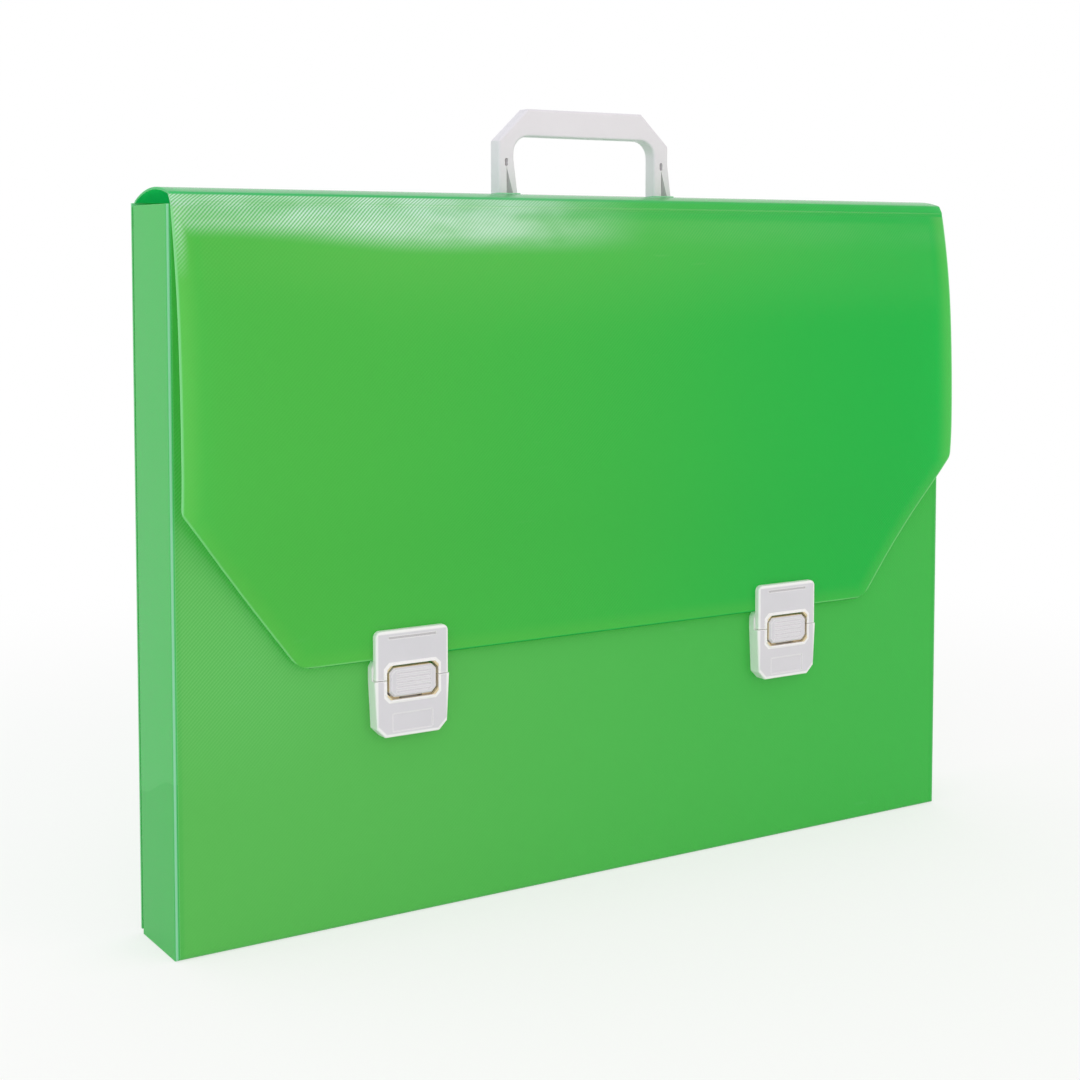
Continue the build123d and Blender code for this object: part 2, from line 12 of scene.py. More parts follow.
from math import cos, pi, radians, sin, tan

import bmesh
import bpy
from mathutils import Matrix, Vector


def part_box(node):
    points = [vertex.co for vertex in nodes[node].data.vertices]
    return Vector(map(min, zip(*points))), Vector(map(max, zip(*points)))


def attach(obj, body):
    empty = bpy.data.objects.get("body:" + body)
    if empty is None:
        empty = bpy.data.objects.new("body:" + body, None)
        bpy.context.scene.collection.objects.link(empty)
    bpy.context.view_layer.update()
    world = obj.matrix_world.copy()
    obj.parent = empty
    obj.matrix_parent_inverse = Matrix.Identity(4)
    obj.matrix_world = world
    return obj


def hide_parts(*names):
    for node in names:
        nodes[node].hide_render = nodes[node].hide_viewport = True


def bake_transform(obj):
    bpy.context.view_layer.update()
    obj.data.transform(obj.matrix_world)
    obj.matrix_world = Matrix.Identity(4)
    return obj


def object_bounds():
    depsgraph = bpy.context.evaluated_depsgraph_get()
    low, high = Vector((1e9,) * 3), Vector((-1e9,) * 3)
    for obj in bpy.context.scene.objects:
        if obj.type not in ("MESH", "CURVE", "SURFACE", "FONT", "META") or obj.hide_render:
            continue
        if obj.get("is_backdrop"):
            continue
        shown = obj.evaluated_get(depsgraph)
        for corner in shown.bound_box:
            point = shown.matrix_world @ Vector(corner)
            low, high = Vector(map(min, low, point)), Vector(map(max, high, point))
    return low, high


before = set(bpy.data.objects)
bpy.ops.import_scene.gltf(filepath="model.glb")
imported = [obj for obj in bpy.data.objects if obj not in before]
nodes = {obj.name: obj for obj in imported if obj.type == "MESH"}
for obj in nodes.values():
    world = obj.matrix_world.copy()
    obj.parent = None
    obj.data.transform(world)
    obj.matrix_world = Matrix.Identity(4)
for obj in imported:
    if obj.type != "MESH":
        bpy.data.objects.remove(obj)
cad_low, cad_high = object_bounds()
print("CAD box in mm:", [round(1000 * (b - a), 1) for a, b in zip(cad_low, cad_high)])

# %% [markdown]
# ## Camera
#
# The photograph was taken from the left of the case and a little below its top, with a short
# telephoto lens. The camera stands just below the height of the spine and looks slightly down. A
# shift of the picture brings the whole case into view, which tilting the camera would do too, but
# then the upright edges would lean.

# %% Camera
camera_place = Vector((-0.4309, -0.6557, 0.2601))
camera_turn = radians(32.07)  # to the right of straight ahead
camera_dip = radians(3.76)
camera_lens = 61.74
camera_shift = -0.15

camera_data = bpy.data.cameras.new("camera")
camera_data.lens = camera_lens
camera_data.sensor_width = 36.0
camera_data.sensor_fit = "HORIZONTAL"
camera_data.shift_y = camera_shift
camera = bpy.data.objects.new("camera", camera_data)
bpy.context.scene.collection.objects.link(camera)
looking = Vector((sin(camera_turn) * cos(camera_dip), cos(camera_turn) * cos(camera_dip), -sin(camera_dip)))
camera.location = camera_place
camera.rotation_euler = looking.to_track_quat("-Z", "Y").to_euler()
bpy.context.scene.camera = camera
print("camera looks along", [round(v, 3) for v in looking])

# %% [markdown]
# ## Small helpers for node trees
#
# Every material and every geometry tree below is wired with the same few helpers, so that a cell
# can say what it computes on one line.

# %% Node helpers
def feed(tree, socket, value):
    """Links a socket into another, or sets its plain value."""
    if isinstance(value, bpy.types.NodeSocket):
        tree.links.new(value, socket)
    elif value is not None:
        socket.default_value = value


def math(tree, operation, *values, clamp=False):
    """One Math node, and its result."""
    node = tree.nodes.new("ShaderNodeMath")
    node.operation = operation
    node.use_clamp = clamp
    for socket, value in zip(node.inputs, values):
        feed(tree, socket, value)
    return node.outputs[0]


def blend_colours(tree, factor, first, second, mode="MIX"):
    """One Mix node on colours."""
    node = tree.nodes.new("ShaderNodeMix")
    node.data_type = "RGBA"
    node.blend_type = mode
    feed(tree, node.inputs[0], factor)
    feed(tree, node.inputs[6], first)
    feed(tree, node.inputs[7], second)
    return node.outputs[2]


def ramp(tree, value, low, high, to_low=0.0, to_high=1.0):
    """Smooth step of a value from one range to another."""
    node = tree.nodes.new("ShaderNodeMapRange")
    node.interpolation_type = "SMOOTHSTEP"
    feed(tree, node.inputs["Value"], value)
    feed(tree, node.inputs["From Min"], low)
    feed(tree, node.inputs["From Max"], high)
    feed(tree, node.inputs["To Min"], to_low)
    feed(tree, node.inputs["To Max"], to_high)
    return node.outputs["Result"]


def noise(tree, vector, scale, detail=2.0, rough=0.5):
    """Noise texture of a vector, from 0 to 1."""
    node = tree.nodes.new("ShaderNodeTexNoise")
    feed(tree, node.inputs["Vector"], vector)
    feed(tree, node.inputs["Scale"], scale)
    node.inputs["Detail"].default_value = detail
    node.inputs["Roughness"].default_value = rough
    return node.outputs["Fac"]


def stretched(tree, vector, scale):
    """The vector with a scale of its own along each axis."""
    node = tree.nodes.new("ShaderNodeMapping")
    feed(tree, node.inputs["Vector"], vector)
    node.inputs["Scale"].default_value = scale
    return node.outputs["Vector"]


print("node helpers ready")

# %% Group and colour helpers
def new_group(kind, name, inputs, outputs):
    """Empty node group with named sockets: (name, type, value) in, (name, type) out."""
    group = bpy.data.node_groups.new(name, kind)
    for title, socket_type, value in inputs:
        socket = group.interface.new_socket(title, in_out="INPUT", socket_type=socket_type)
        if value is not None:
            socket.default_value = value
    for title, socket_type in outputs:
        group.interface.new_socket(title, in_out="OUTPUT", socket_type=socket_type)
    start = group.nodes.new("NodeGroupInput")
    end = group.nodes.new("NodeGroupOutput")
    return group, start.outputs, end.inputs


def place_group(tree, group, kind="ShaderNodeGroup", **values):
    """Puts a node group in a tree with its own values, and gives its outputs."""
    node = tree.nodes.new(kind)
    node.node_tree = group
    for title, value in values.items():
        feed(tree, node.inputs[title.replace("_", " ")], value)
    return node.outputs


def srgb(red, green, blue):
    """Linear colour from the usual 0 to 255 numbers."""
    linear = []
    for part in (red, green, blue):
        part = part / 255
        linear.append(part / 12.92 if part <= 0.04045 else ((part + 0.055) / 1.055) ** 2.4)
    return (*linear, 1.0)


print("mid grey is", round(srgb(128, 128, 128)[0], 3), "in linear light")

# %% Shader helpers
def new_material(name):
    """Material, with its tree, its Principled shader and its object coordinates."""
    material = bpy.data.materials.new(name)
    material.use_nodes = True
    tree = material.node_tree
    place = tree.nodes.new("ShaderNodeTexCoord").outputs["Object"]
    return material, tree, tree.nodes["Principled BSDF"], place


def mix_shaders(tree, factor, first, second):
    """One Mix Shader node."""
    node = tree.nodes.new("ShaderNodeMixShader")
    feed(tree, node.inputs[0], factor)
    tree.links.new(first, node.inputs[1])
    tree.links.new(second, node.inputs[2])
    return node.outputs[0]


def bump(tree, shader, height, strength, depth):
    """Tilts a shader's normal by a height map; a height of 1 is depth metres."""
    node = tree.nodes.new("ShaderNodeBump")
    node.inputs["Strength"].default_value = strength
    node.inputs["Distance"].default_value = depth
    tree.links.new(height, node.inputs["Height"])
    tree.links.new(node.outputs["Normal"], shader.inputs["Normal"])


def seen_directly(tree):
    """1 for rays from the camera, and for what mirrors and clear things pass on to it."""
    path = tree.nodes.new("ShaderNodeLightPath")
    seen = math(tree, "MAXIMUM", path.outputs["Is Camera Ray"], path.outputs["Is Glossy Ray"])
    return math(tree, "MAXIMUM", seen, path.outputs["Is Transmission Ray"])


print("shader helpers ready")

# %% [markdown]
# ## Studio
#
# The photograph is a cut-out on white. Here the floor is pale and takes a soft shadow. Far from
# the case it turns to plain white, which meets the white of the world without a horizon. The
# world is white to the camera, and to mirror-like rays, while matt surfaces get a gentler sky.

# %% Floor
floor_whiteness = 0.62  # share of plain white in what the camera sees of the floor
floor_pale = (0.92, 0.92, 0.92, 1.0)
shadow_reach = 0.30  # from the case's middle; further out the floor fades to white
white_reach = 0.75
floor_drop = 0.0002  # below the case, so that the two don't share a plane


def floor_material():
    """Pale floor that keeps the shadow near the case and is plain white further out."""
    material = bpy.data.materials.new("studio_floor")
    material.use_nodes = True
    tree = material.node_tree
    tree.nodes.clear()
    output = tree.nodes.new("ShaderNodeOutputMaterial")
    matt = tree.nodes.new("ShaderNodeBsdfDiffuse")
    matt.inputs["Color"].default_value = floor_pale
    white = tree.nodes.new("ShaderNodeEmission").outputs[0]
    seen = seen_directly(tree)
    place = tree.nodes.new("ShaderNodeTexCoord").outputs["Object"]
    length = tree.nodes.new("ShaderNodeVectorMath")
    length.operation = "LENGTH"
    tree.links.new(place, length.inputs[0])
    far = ramp(tree, length.outputs["Value"], shadow_reach, white_reach)
    lit = mix_shaders(tree, floor_whiteness, matt.outputs[0], white)
    near = mix_shaders(tree, seen, matt.outputs[0], lit)
    whole = mix_shaders(tree, math(tree, "MULTIPLY", far, seen), near, white)
    tree.links.new(whole, output.inputs["Surface"])
    return material


floor_half = 6.0
floor_corners = [(x * floor_half, y * floor_half, 0) for x, y in ((-1, -1), (1, -1), (1, 1), (-1, 1))]
floor_mesh = bpy.data.meshes.new("studio_floor")
floor_mesh.from_pydata(floor_corners, [], [(0, 1, 2, 3)])
floor_mesh.materials.append(floor_material())
floor = bpy.data.objects.new("studio_floor", floor_mesh)
floor.location.z = cad_low.z - floor_drop
bpy.context.scene.collection.objects.link(floor)
floor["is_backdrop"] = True
print("floor at z", round(floor.location.z, 5))

# %% World
sky_level = 0.88  # of white, for matt surfaces


def white_world(matt_level):
    """White to camera, glossy and transmission rays, and a softer white to the rest."""
    world = bpy.data.worlds.new("studio_world")
    world.use_nodes = True
    tree = world.node_tree
    tree.nodes.clear()
    output = tree.nodes.new("ShaderNodeOutputWorld")
    skies = []
    for strength in (matt_level, 1.0):
        sky = tree.nodes.new("ShaderNodeBackground")
        sky.inputs["Color"].default_value = (1.0, 1.0, 1.0, 1.0)
        sky.inputs["Strength"].default_value = strength
        skies.append(sky.outputs[0])
    tree.links.new(mix_shaders(tree, seen_directly(tree), *skies), output.inputs["Surface"])
    return world


bpy.context.scene.world = white_world(sky_level)
bpy.context.scene.view_settings.view_transform = "Standard"
print("world ready, sky at", sky_level)

# %% [markdown]
# ## Lamps
#
# A wide softbox in front gives the plain light, and one on the left lights the gusset. Two more
# stand to the right: only the top of the bowed lid is tilted enough to mirror them. The wide warm
# one is the soft pane of light on the upper lid, and the small one lights the haze under the
# crease. Their brightness is set as radiance, so a lamp's size can change without changing how
# bright its reflection is.

# %% Lamps
def softbox(name, place, target, width, height, radiance, colour=(1.0, 1.0, 1.0)):
    """Rectangular area lamp at a place, facing a target, of a given radiance."""
    data = bpy.data.lights.new(name, "AREA")
    data.shape = "RECTANGLE"
    data.size = width
    data.size_y = height
    data.energy = radiance * pi * width * height
    data.color = colour
    lamp = bpy.data.objects.new(name, data)
    lamp.location = place
    lamp.rotation_euler = (Vector(target) - Vector(place)).to_track_quat("-Z", "Y").to_euler()
    bpy.context.scene.collection.objects.link(lamp)
    return lamp


case_middle = (0.0, 0.0, 0.15)
lid_top = (0.0, -0.02, 0.26)
warm = (1.0, 0.72, 0.42)
softbox("lamp_front", (-1.3, -2.0, 1.6), case_middle, width=1.3, height=1.0, radiance=2.05)
softbox("lamp_window", (1.36, -2.00, 0.95), lid_top, width=1.2, height=0.7, radiance=2.2, colour=warm)
softbox("lamp_haze", (0.88, -1.80, 1.22), lid_top, width=0.36, height=0.26, radiance=1.8)
softbox("lamp_left", (-2.2, 0.2, 1.1), case_middle, width=0.9, height=0.9, radiance=2.45)

# %% [markdown]
# ## Effects that several finishes share
#
# The sheet is embossed with fine crossed diagonal lines about a millimetre apart, which the eye
# reads as a faint hatch where light glances off it. Cut edges and folds are painted paler: partly
# the whitening that bending and cutting give polypropylene, partly a painted highlight where their
# rounded edges catch the light. Handling leaves fine dust and scuffs. Each effect is one node
# group, which the materials below use with their own values.

# %% Emboss group
def emboss_group():
    """Height of crossed diagonal lines on a sheet, one set stronger than the other."""
    group, start, end = new_group("ShaderNodeTree", "sheet_emboss", [
        ("Across", "NodeSocketFloat", 0.0),
        ("Up", "NodeSocketFloat", 0.0),
        ("Pitch", "NodeSocketFloat", 0.0011),
        ("Cross Share", "NodeSocketFloat", 0.25),
    ], [("Height", "NodeSocketFloat")])
    lines = []
    for sign in ("SUBTRACT", "ADD"):
        along = math(group, sign, start["Across"], start["Up"])
        turns = math(group, "DIVIDE", math(group, "MULTIPLY", along, 2 * pi / 2 ** 0.5), start["Pitch"])
        lines.append(math(group, "SINE", turns))
    weak = math(group, "MULTIPLY", lines[1], start["Cross Share"])
    group.links.new(math(group, "ADD", lines[0], weak), end["Height"])
    return group


sheet_emboss = emboss_group()
print("group", sheet_emboss.name)

# %% Crease and edge groups
full_share = 0.45  # of a fold's reach is as pale as the fold itself
on_edge, beside_edge = 0.86, 0.995  # cosine between the bevelled normal and the true one


def crease_group():
    """Mask that is 1 on a straight fold and fades with the distance from it."""
    group, start, end = new_group("ShaderNodeTree", "crease_whitening_and_highlight", [
        ("First", "NodeSocketFloat", 0.0),
        ("First Place", "NodeSocketFloat", 0.0),
        ("Second", "NodeSocketFloat", 0.0),
        ("Second Place", "NodeSocketFloat", 0.0),
        ("Reach", "NodeSocketFloat", 0.0016),
    ], [("Mask", "NodeSocketFloat")])
    first = math(group, "SUBTRACT", start["First"], start["First Place"])
    second = math(group, "SUBTRACT", start["Second"], start["Second Place"])
    first = math(group, "MULTIPLY", first, first)
    second = math(group, "MULTIPLY", second, second)
    distance = math(group, "SQRT", math(group, "ADD", first, second))
    near = math(group, "MULTIPLY", start["Reach"], full_share)
    group.links.new(ramp(group, distance, near, start["Reach"], 1.0, 0.0), end["Mask"])
    return group


def edge_group():
    """Mask of the outer edges of a solid, from how far a bevelled normal leaves the true one."""
    group, start, end = new_group("ShaderNodeTree", "edge_rim", [
        ("Radius", "NodeSocketFloat", 0.0004),
    ], [("Mask", "NodeSocketFloat")])
    bevel = group.nodes.new("ShaderNodeBevel")
    bevel.samples = 6
    group.links.new(start["Radius"], bevel.inputs["Radius"])
    true = group.nodes.new("ShaderNodeNewGeometry")
    dot = group.nodes.new("ShaderNodeVectorMath")
    dot.operation = "DOT_PRODUCT"
    group.links.new(bevel.outputs["Normal"], dot.inputs[0])
    group.links.new(true.outputs["True Normal"], dot.inputs[1])
    group.links.new(ramp(group, dot.outputs["Value"], on_edge, beside_edge, 1.0, 0.0), end["Mask"])
    return group


crease_whitening_and_highlight = crease_group()
edge_rim = edge_group()
print("groups", crease_whitening_and_highlight.name, edge_rim.name)

# %% Wear group
def wear_group():
    """Fine dust specks and long faint scuffs, from 0 to 1."""
    group, start, end = new_group("ShaderNodeTree", "dust_and_scuffs", [
        ("Place", "NodeSocketVector", None),
        ("Amount", "NodeSocketFloat", 1.0),
    ], [("Mask", "NodeSocketFloat"), ("Cloud", "NodeSocketFloat")])
    specks = ramp(group, noise(group, start["Place"], 1400.0, 1.0), 0.74, 0.80, 0.0, 0.55)
    long_way = stretched(group, start["Place"], (60.0, 900.0, 420.0))
    scuffs = ramp(group, noise(group, long_way, 1.0, 3.0), 0.66, 0.80, 0.0, 0.6)
    patches = ramp(group, noise(group, start["Place"], 22.0, 3.0), 0.42, 0.72)
    marks = math(group, "MULTIPLY", math(group, "MAXIMUM", specks, scuffs), patches)
    group.links.new(math(group, "MULTIPLY", marks, start["Amount"], clamp=True), end["Mask"])
    group.links.new(patches, end["Cloud"])
    return group


dust_and_scuffs = wear_group()
print("group", dust_and_scuffs.name)

# %% [markdown]
# ## The green sheet
#
# Polypropylene 1 mm thick lets some light through. What stands behind it makes it deeper in
# colour, and its shadow stays green. The sheet is a Principled shader, mixed with a Translucent
# one that takes light from behind. For rays from lamps alone a green Transparent shader takes most
# of their place, so that the light inside the case and under the lid is green. Where the sheet
# lies double its colour is deeper, and where it is folded or cut it is paler, partly from
# whitening and partly as a painted highlight.

# %% Sheet colours
sheet_left = srgb(80, 188, 71)  # the lid drifts from yellowish to bluish green: painted warm light on the left
sheet_right = srgb(12, 184, 70)
front_left = srgb(98, 194, 91)
front_right = srgb(66, 191, 79)
gusset_green = srgb(66, 191, 90)
spine_green = srgb(66, 188, 110)
double_and_shade_green = srgb(20, 176, 60)  # where the sheet lies double, and painted shade beside the front's side folds
# pale of folds and cut edges: partly whitening, partly a painted highlight
fold_pale = srgb(160, 222, 190)
edge_pale = srgb(140, 218, 146)
edge_warm = srgb(122, 198, 84)
# painted shade: the deep green of the shadow line under the lid's lower edge
edge_shade_green = srgb(14, 186, 84)
# painted reflection of a soft lamp, under the front crease
haze_pale = srgb(224, 246, 242)
through_green = (0.10, 1.0, 0.48, 1.0)  # light that has passed one layer of sheet
shadow_green = (0.34, 1.0, 0.50, 1.0)
for end_colour in (sheet_left, sheet_right):
    print("sheet colour, linear:", [round(v, 3) for v in end_colour[:3]])

# %% Light from behind
def let_light_through(tree, shader, colour, glow, tint, clearness):
    """Adds light of a colour from behind, and lets a share of lamp rays pass, tinted."""
    behind = tree.nodes.new("ShaderNodeBsdfTranslucent")
    behind.inputs["Color"].default_value = colour
    body = mix_shaders(tree, glow, shader.outputs[0], behind.outputs[0])
    clear = tree.nodes.new("ShaderNodeBsdfTransparent")
    clear.inputs["Color"].default_value = tint
    to_lamp = tree.nodes.new("ShaderNodeLightPath").outputs["Is Shadow Ray"]
    whole = mix_shaders(tree, math(tree, "MULTIPLY", to_lamp, clearness), body, clear.outputs[0])
    tree.links.new(whole, tree.nodes["Material Output"].inputs["Surface"])


print("light from behind has the colour", through_green[:3], "and the sheet's shadow", shadow_green[:3])

# %% Sheet material
drift_half = 0.22  # the sheet's colour drifts from left to right between these x
sheet_roughness = 0.14
sheet_specular = 0.22  # the emboss breaks up most of what the sheet would mirror
sheet_index = 1.49  # of refraction
emboss_depth = 0.00004
outer_glow = 0.20  # share of the light that comes from behind
inner_glow = 0.82  # the same on the faces that look inwards
shadow_clearness = 0.96


def sheet_material(
    name, across, up, creases=(), layers=(), ends=(sheet_left, sheet_right), rim_share=0.6,
):
    """Embossed translucent sheet. across and up name the axes of the panel's face, up may be two.

    Each crease is (axis, place, axis, place, reach, strength). Each layer is a mask function and
    the colour it lays over the sheet. Faces marked inner_side take more of their light from behind.
    """
    material, tree, shader, place = new_material(name)
    split = tree.nodes.new("ShaderNodeSeparateXYZ")
    tree.links.new(place, split.inputs[0])
    spot = {axis: split.outputs[axis] for axis in "XYZ"}
    wear = place_group(tree, dust_and_scuffs, Place=place, Amount=0.35)
    height = spot[up] if len(up) == 1 else math(tree, "ADD", spot[up[0]], spot[up[1]])
    emboss = place_group(tree, sheet_emboss, Across=spot[across], Up=height)
    spot.update(place=place, crest=ramp(tree, emboss["Height"], -0.8, 0.9))
    cloud = math(tree, "MULTIPLY", math(tree, "SUBTRACT", noise(tree, place, 5.0, 1.0), 0.5), 0.10)
    # Painted light: the drift from yellowish on the left stands in for warm light reflected there.
    drift = ramp(tree, math(tree, "ADD", spot["X"], cloud), -drift_half, drift_half)
    colour = blend_colours(tree, drift, *ends)
    colour = blend_colours(tree, math(tree, "MULTIPLY", spot["crest"], 0.05), colour, edge_pale)
    for mask, layer_colour in layers:
        colour = blend_colours(tree, mask(tree, spot), colour, layer_colour)
    pale = 0.0
    # Folds are painted pale: partly the whitening of bent sheet, partly a painted highlight.
    for first, first_place, second, second_place, fold_reach, strength in creases:
        fold = place_group(
            tree, crease_whitening_and_highlight, First=spot[first], First_Place=first_place, Second=spot[second],
            Second_Place=second_place, Reach=fold_reach,
        )
        pale = math(tree, "MAXIMUM", pale, math(tree, "MULTIPLY", fold["Mask"], strength))
    colour = blend_colours(tree, pale, colour, fold_pale)
    # Outer edges are painted pale: partly the whitening of cut sheet, partly a painted highlight.
    rim = place_group(tree, edge_rim, Radius=0.0005)
    colour = blend_colours(tree, math(tree, "MULTIPLY", rim["Mask"], rim_share), colour, edge_pale)
    colour = blend_colours(tree, math(tree, "MULTIPLY", wear["Mask"], 0.3), colour, fold_pale)
    tree.links.new(colour, shader.inputs["Base Color"])
    rough = math(tree, "ADD", math(tree, "MULTIPLY", wear["Cloud"], 0.02), sheet_roughness)
    tree.links.new(rough, shader.inputs["Roughness"])
    shader.inputs["Specular IOR Level"].default_value = sheet_specular
    shader.inputs["IOR"].default_value = sheet_index
    bump(tree, shader, emboss["Height"], 0.30, emboss_depth)
    inside = tree.nodes.new("ShaderNodeAttribute")
    inside.attribute_name = "inner_side"
    more = math(tree, "MULTIPLY", inside.outputs["Fac"], inner_glow - outer_glow)
    glow = math(tree, "ADD", more, outer_glow)
    let_light_through(tree, shader, through_green, glow, shadow_green, shadow_clearness)
    return material


print("sheet material ready")

# %% [markdown]
# ## The flat panels
#
# Each panel gets the sheet material along its own two axes, because the emboss lies in the plane
# of the sheet. What lies behind the sheet shows through it: the folded-up ends of the base darken
# the foot of each gusset, and the flanges of the gussets darken the edges of the back. The front
# also gets painted shade in a strip inside each side fold, and a painted highlight on its emboss
# below the lid. These are masks that a panel's material takes as layers. Folds are straight lines
# in space, each given by two of its coordinates.

# %% Masks of the flat panels
gusset_side = 0.190  # outer face of a gusset, from the middle
front_y = -0.0185
back_y = 0.0185
tab_half = 0.0155  # of the depth of the base's folded-up end
tab_front_top = 0.0656  # its slanted top, at the front and at the back
tab_rear_top = 0.0556
flange_edge = 0.1705
strip_edge = 0.1868


def product(tree, first, *others):
    """Several masks multiplied."""
    for other in others:
        first = math(tree, "MULTIPLY", first, other)
    return first


def behind_gusset(tree, spot):
    """Where the folded-up end of the base stands behind the gusset, below a slanted line."""
    slope = ramp(tree, spot["Y"], -tab_half, tab_half, tab_front_top, tab_rear_top)
    below = math(tree, "SUBTRACT", slope, spot["Z"])
    layer = ramp(tree, below, -0.0002, 0.0004, 0.0, 0.42)
    line = ramp(tree, math(tree, "ABSOLUTE", below), 0.0003, 0.0012, 0.45, 0.0)
    return math(tree, "MAXIMUM", layer, line)


def behind_back(tree, spot):
    """Where the gussets' flanges lie behind the back panel."""
    side = math(tree, "ABSOLUTE", spot["X"])
    return ramp(tree, side, flange_edge - 0.0003, flange_edge + 0.0003, 0.0, 0.5)


def hatch_highlight(tree, spot):
    """Painted highlight on the front panel's emboss, where it shows most: beside the left fold, below the
    lid.
    """
    side = ramp(tree, spot["X"], -0.095, -0.165)
    above = ramp(tree, spot["Z"], 0.050, 0.110)
    below = ramp(tree, spot["Z"], 0.215, 0.170)
    return product(tree, side, above, below, spot["crest"], 0.30)


def shade_beside_folds(tree, spot):
    """Painted shade: a deeper strip on the front, just inside each side fold, where the lid shades it."""
    side = math(tree, "ABSOLUTE", spot["X"])
    return ramp(tree, side, strip_edge - 0.0006, strip_edge + 0.0006, 0.0, 0.18)


print("gussets darker below z", tab_rear_top, "to", tab_front_top)

# %% Materials of the flat panels
rear_crease = (0.018, 0.280)  # (y, z)
# Each fold is (axis, place, axis, place, reach, strength).
low_fold_front = ("Y", front_y, "Z", 0.0, 0.0012, 0.1)
low_fold_back = ("Y", back_y, "Z", 0.0, 0.0014, 0.4)
# The left fold is painted paler than the right: a painted highlight where the light from the left catches it.
left_fold = ("X", -gusset_side, "Y", front_y, 0.0012, 0.9)
right_fold = ("X", gusset_side, "Y", front_y, 0.0012, 0.3)
back_folds = [("X", side * gusset_side, "Y", back_y, 0.0014, 0.4) for side in (-1, 1)]
front_marks = [(shade_beside_folds, double_and_shade_green), (hatch_highlight, edge_pale)]
sheet_front = sheet_material(
    "sheet_front", "X", "Z", [left_fold, right_fold, low_fold_front], front_marks, (front_left, front_right),
)
rear_top = ("Y", rear_crease[0], "Z", rear_crease[1], 0.0022, 0.8)
sheet_back = sheet_material(
    "sheet_back", "X", "Z", back_folds + [low_fold_back, rear_top], [(behind_back, double_and_shade_green)],
)
sheet_base = sheet_material("sheet_base", "X", "Y", [low_fold_front, low_fold_back])
sheet_gusset = sheet_material(
    "sheet_gusset", "Y", "Z", [left_fold, right_fold] + back_folds, [(behind_gusset, double_and_shade_green)],
    (gusset_green, gusset_green),
)
sheet_tab = sheet_material("sheet_tuck_tab", "Y", "Z")


def dress(material, *names):
    """Gives CAD nodes their material."""
    for name in names:
        for slot in nodes[name].material_slots:
            slot.material = material


dress(sheet_front, "front_panel")
dress(sheet_back, "back_panel")
dress(sheet_base, "base_panel")
dress(sheet_gusset, "left_gusset", "right_gusset")
dress(sheet_tab, "left_tuck_tab", "right_tuck_tab")
print("flat panels dressed:", sheet_front.name, sheet_back.name, sheet_base.name, sheet_gusset.name)

# %% [markdown]
# ## Marks on the lid and the spine
#
# The lid shows its cut edge: warm light that the sheet carries to it, and a fine pale line, partly
# a painted highlight, which turns deep green between the locks, where the edge is seen from
# straight ahead and painted shade stands for the shadow line under it. Under the front crease the
# emboss is painted pale, a painted reflection of a soft lamp, most of all on the left. Each mark is
# a mask worked out from the distance to the lid's sides and foot, so it follows the outline of the
# lid.

# %% Distances on the lid
lid_half = 0.189
corner_height = 0.167
lid_edge = 0.104
chamfer_width = 0.048


def from_lid_side(tree, spot):
    """Distance inwards from the lid's straight sides."""
    return math(tree, "SUBTRACT", lid_half, math(tree, "ABSOLUTE", spot["X"]))


def from_lid_foot(tree, spot):
    """Distance inwards from the lid's lower edge and its two cut corners."""
    slant = Vector((corner_height - lid_edge, chamfer_width)).normalized()
    rise = math(tree, "SUBTRACT", spot["Z"], corner_height)
    along = math(tree, "MULTIPLY", from_lid_side(tree, spot), slant.x)
    corner = math(tree, "ADD", along, math(tree, "MULTIPLY", rise, slant.y))
    return math(tree, "MINIMUM", corner, math(tree, "SUBTRACT", spot["Z"], lid_edge))


print("lid from z", lid_edge, "and", 2 * lid_half, "wide, its corners cut below z", corner_height)

# %% Masks of the lid's edge
between_locks = (0.080, 0.120)  # distance from the middle at which the pale edge takes over


def edge_lit(tree, spot):
    """Light that the sheet carries to its cut edge warms a band along it."""
    sides = ramp(tree, from_lid_side(tree, spot), 0.0010, 0.0100, 0.36, 0.0)
    return math(tree, "MAXIMUM", sides, ramp(tree, from_lid_foot(tree, spot), 0.0010, 0.0080, 0.16, 0.0))


def cut_line(tree, spot):
    """Pale line of the cut edge, along the lid's sides and cut corners: partly whitened cut sheet, partly a
    painted highlight.
    """
    side = ramp(tree, from_lid_side(tree, spot), 0.0003, 0.0010, 0.85, 0.0)
    slant = ramp(tree, math(tree, "ABSOLUTE", spot["X"]), *between_locks, 0.0, 0.6)
    foot = ramp(tree, from_lid_foot(tree, spot), 0.0003, 0.0010, 1.0, 0.0)
    return math(tree, "MAXIMUM", side, product(tree, foot, slant))


def deep_edge_shade(tree, spot):
    """Painted shade: a deep green line on the cut edge between the locks, for the shadow line under it, where
    the sheet is also seen along its thickness.
    """
    middle = ramp(tree, math(tree, "ABSOLUTE", spot["X"]), *between_locks, 0.9, 0.0)
    return product(tree, middle, ramp(tree, from_lid_foot(tree, spot), 0.0002, 0.0009, 1.0, 0.0))


print("the lid's edge turns pale between", between_locks, "from the middle")

# %% Masks at the top
haze_depth = 0.0110  # from the lower end of the painted haze band to where it is full
patch_scale = (26.0, 26.0, 90.0)


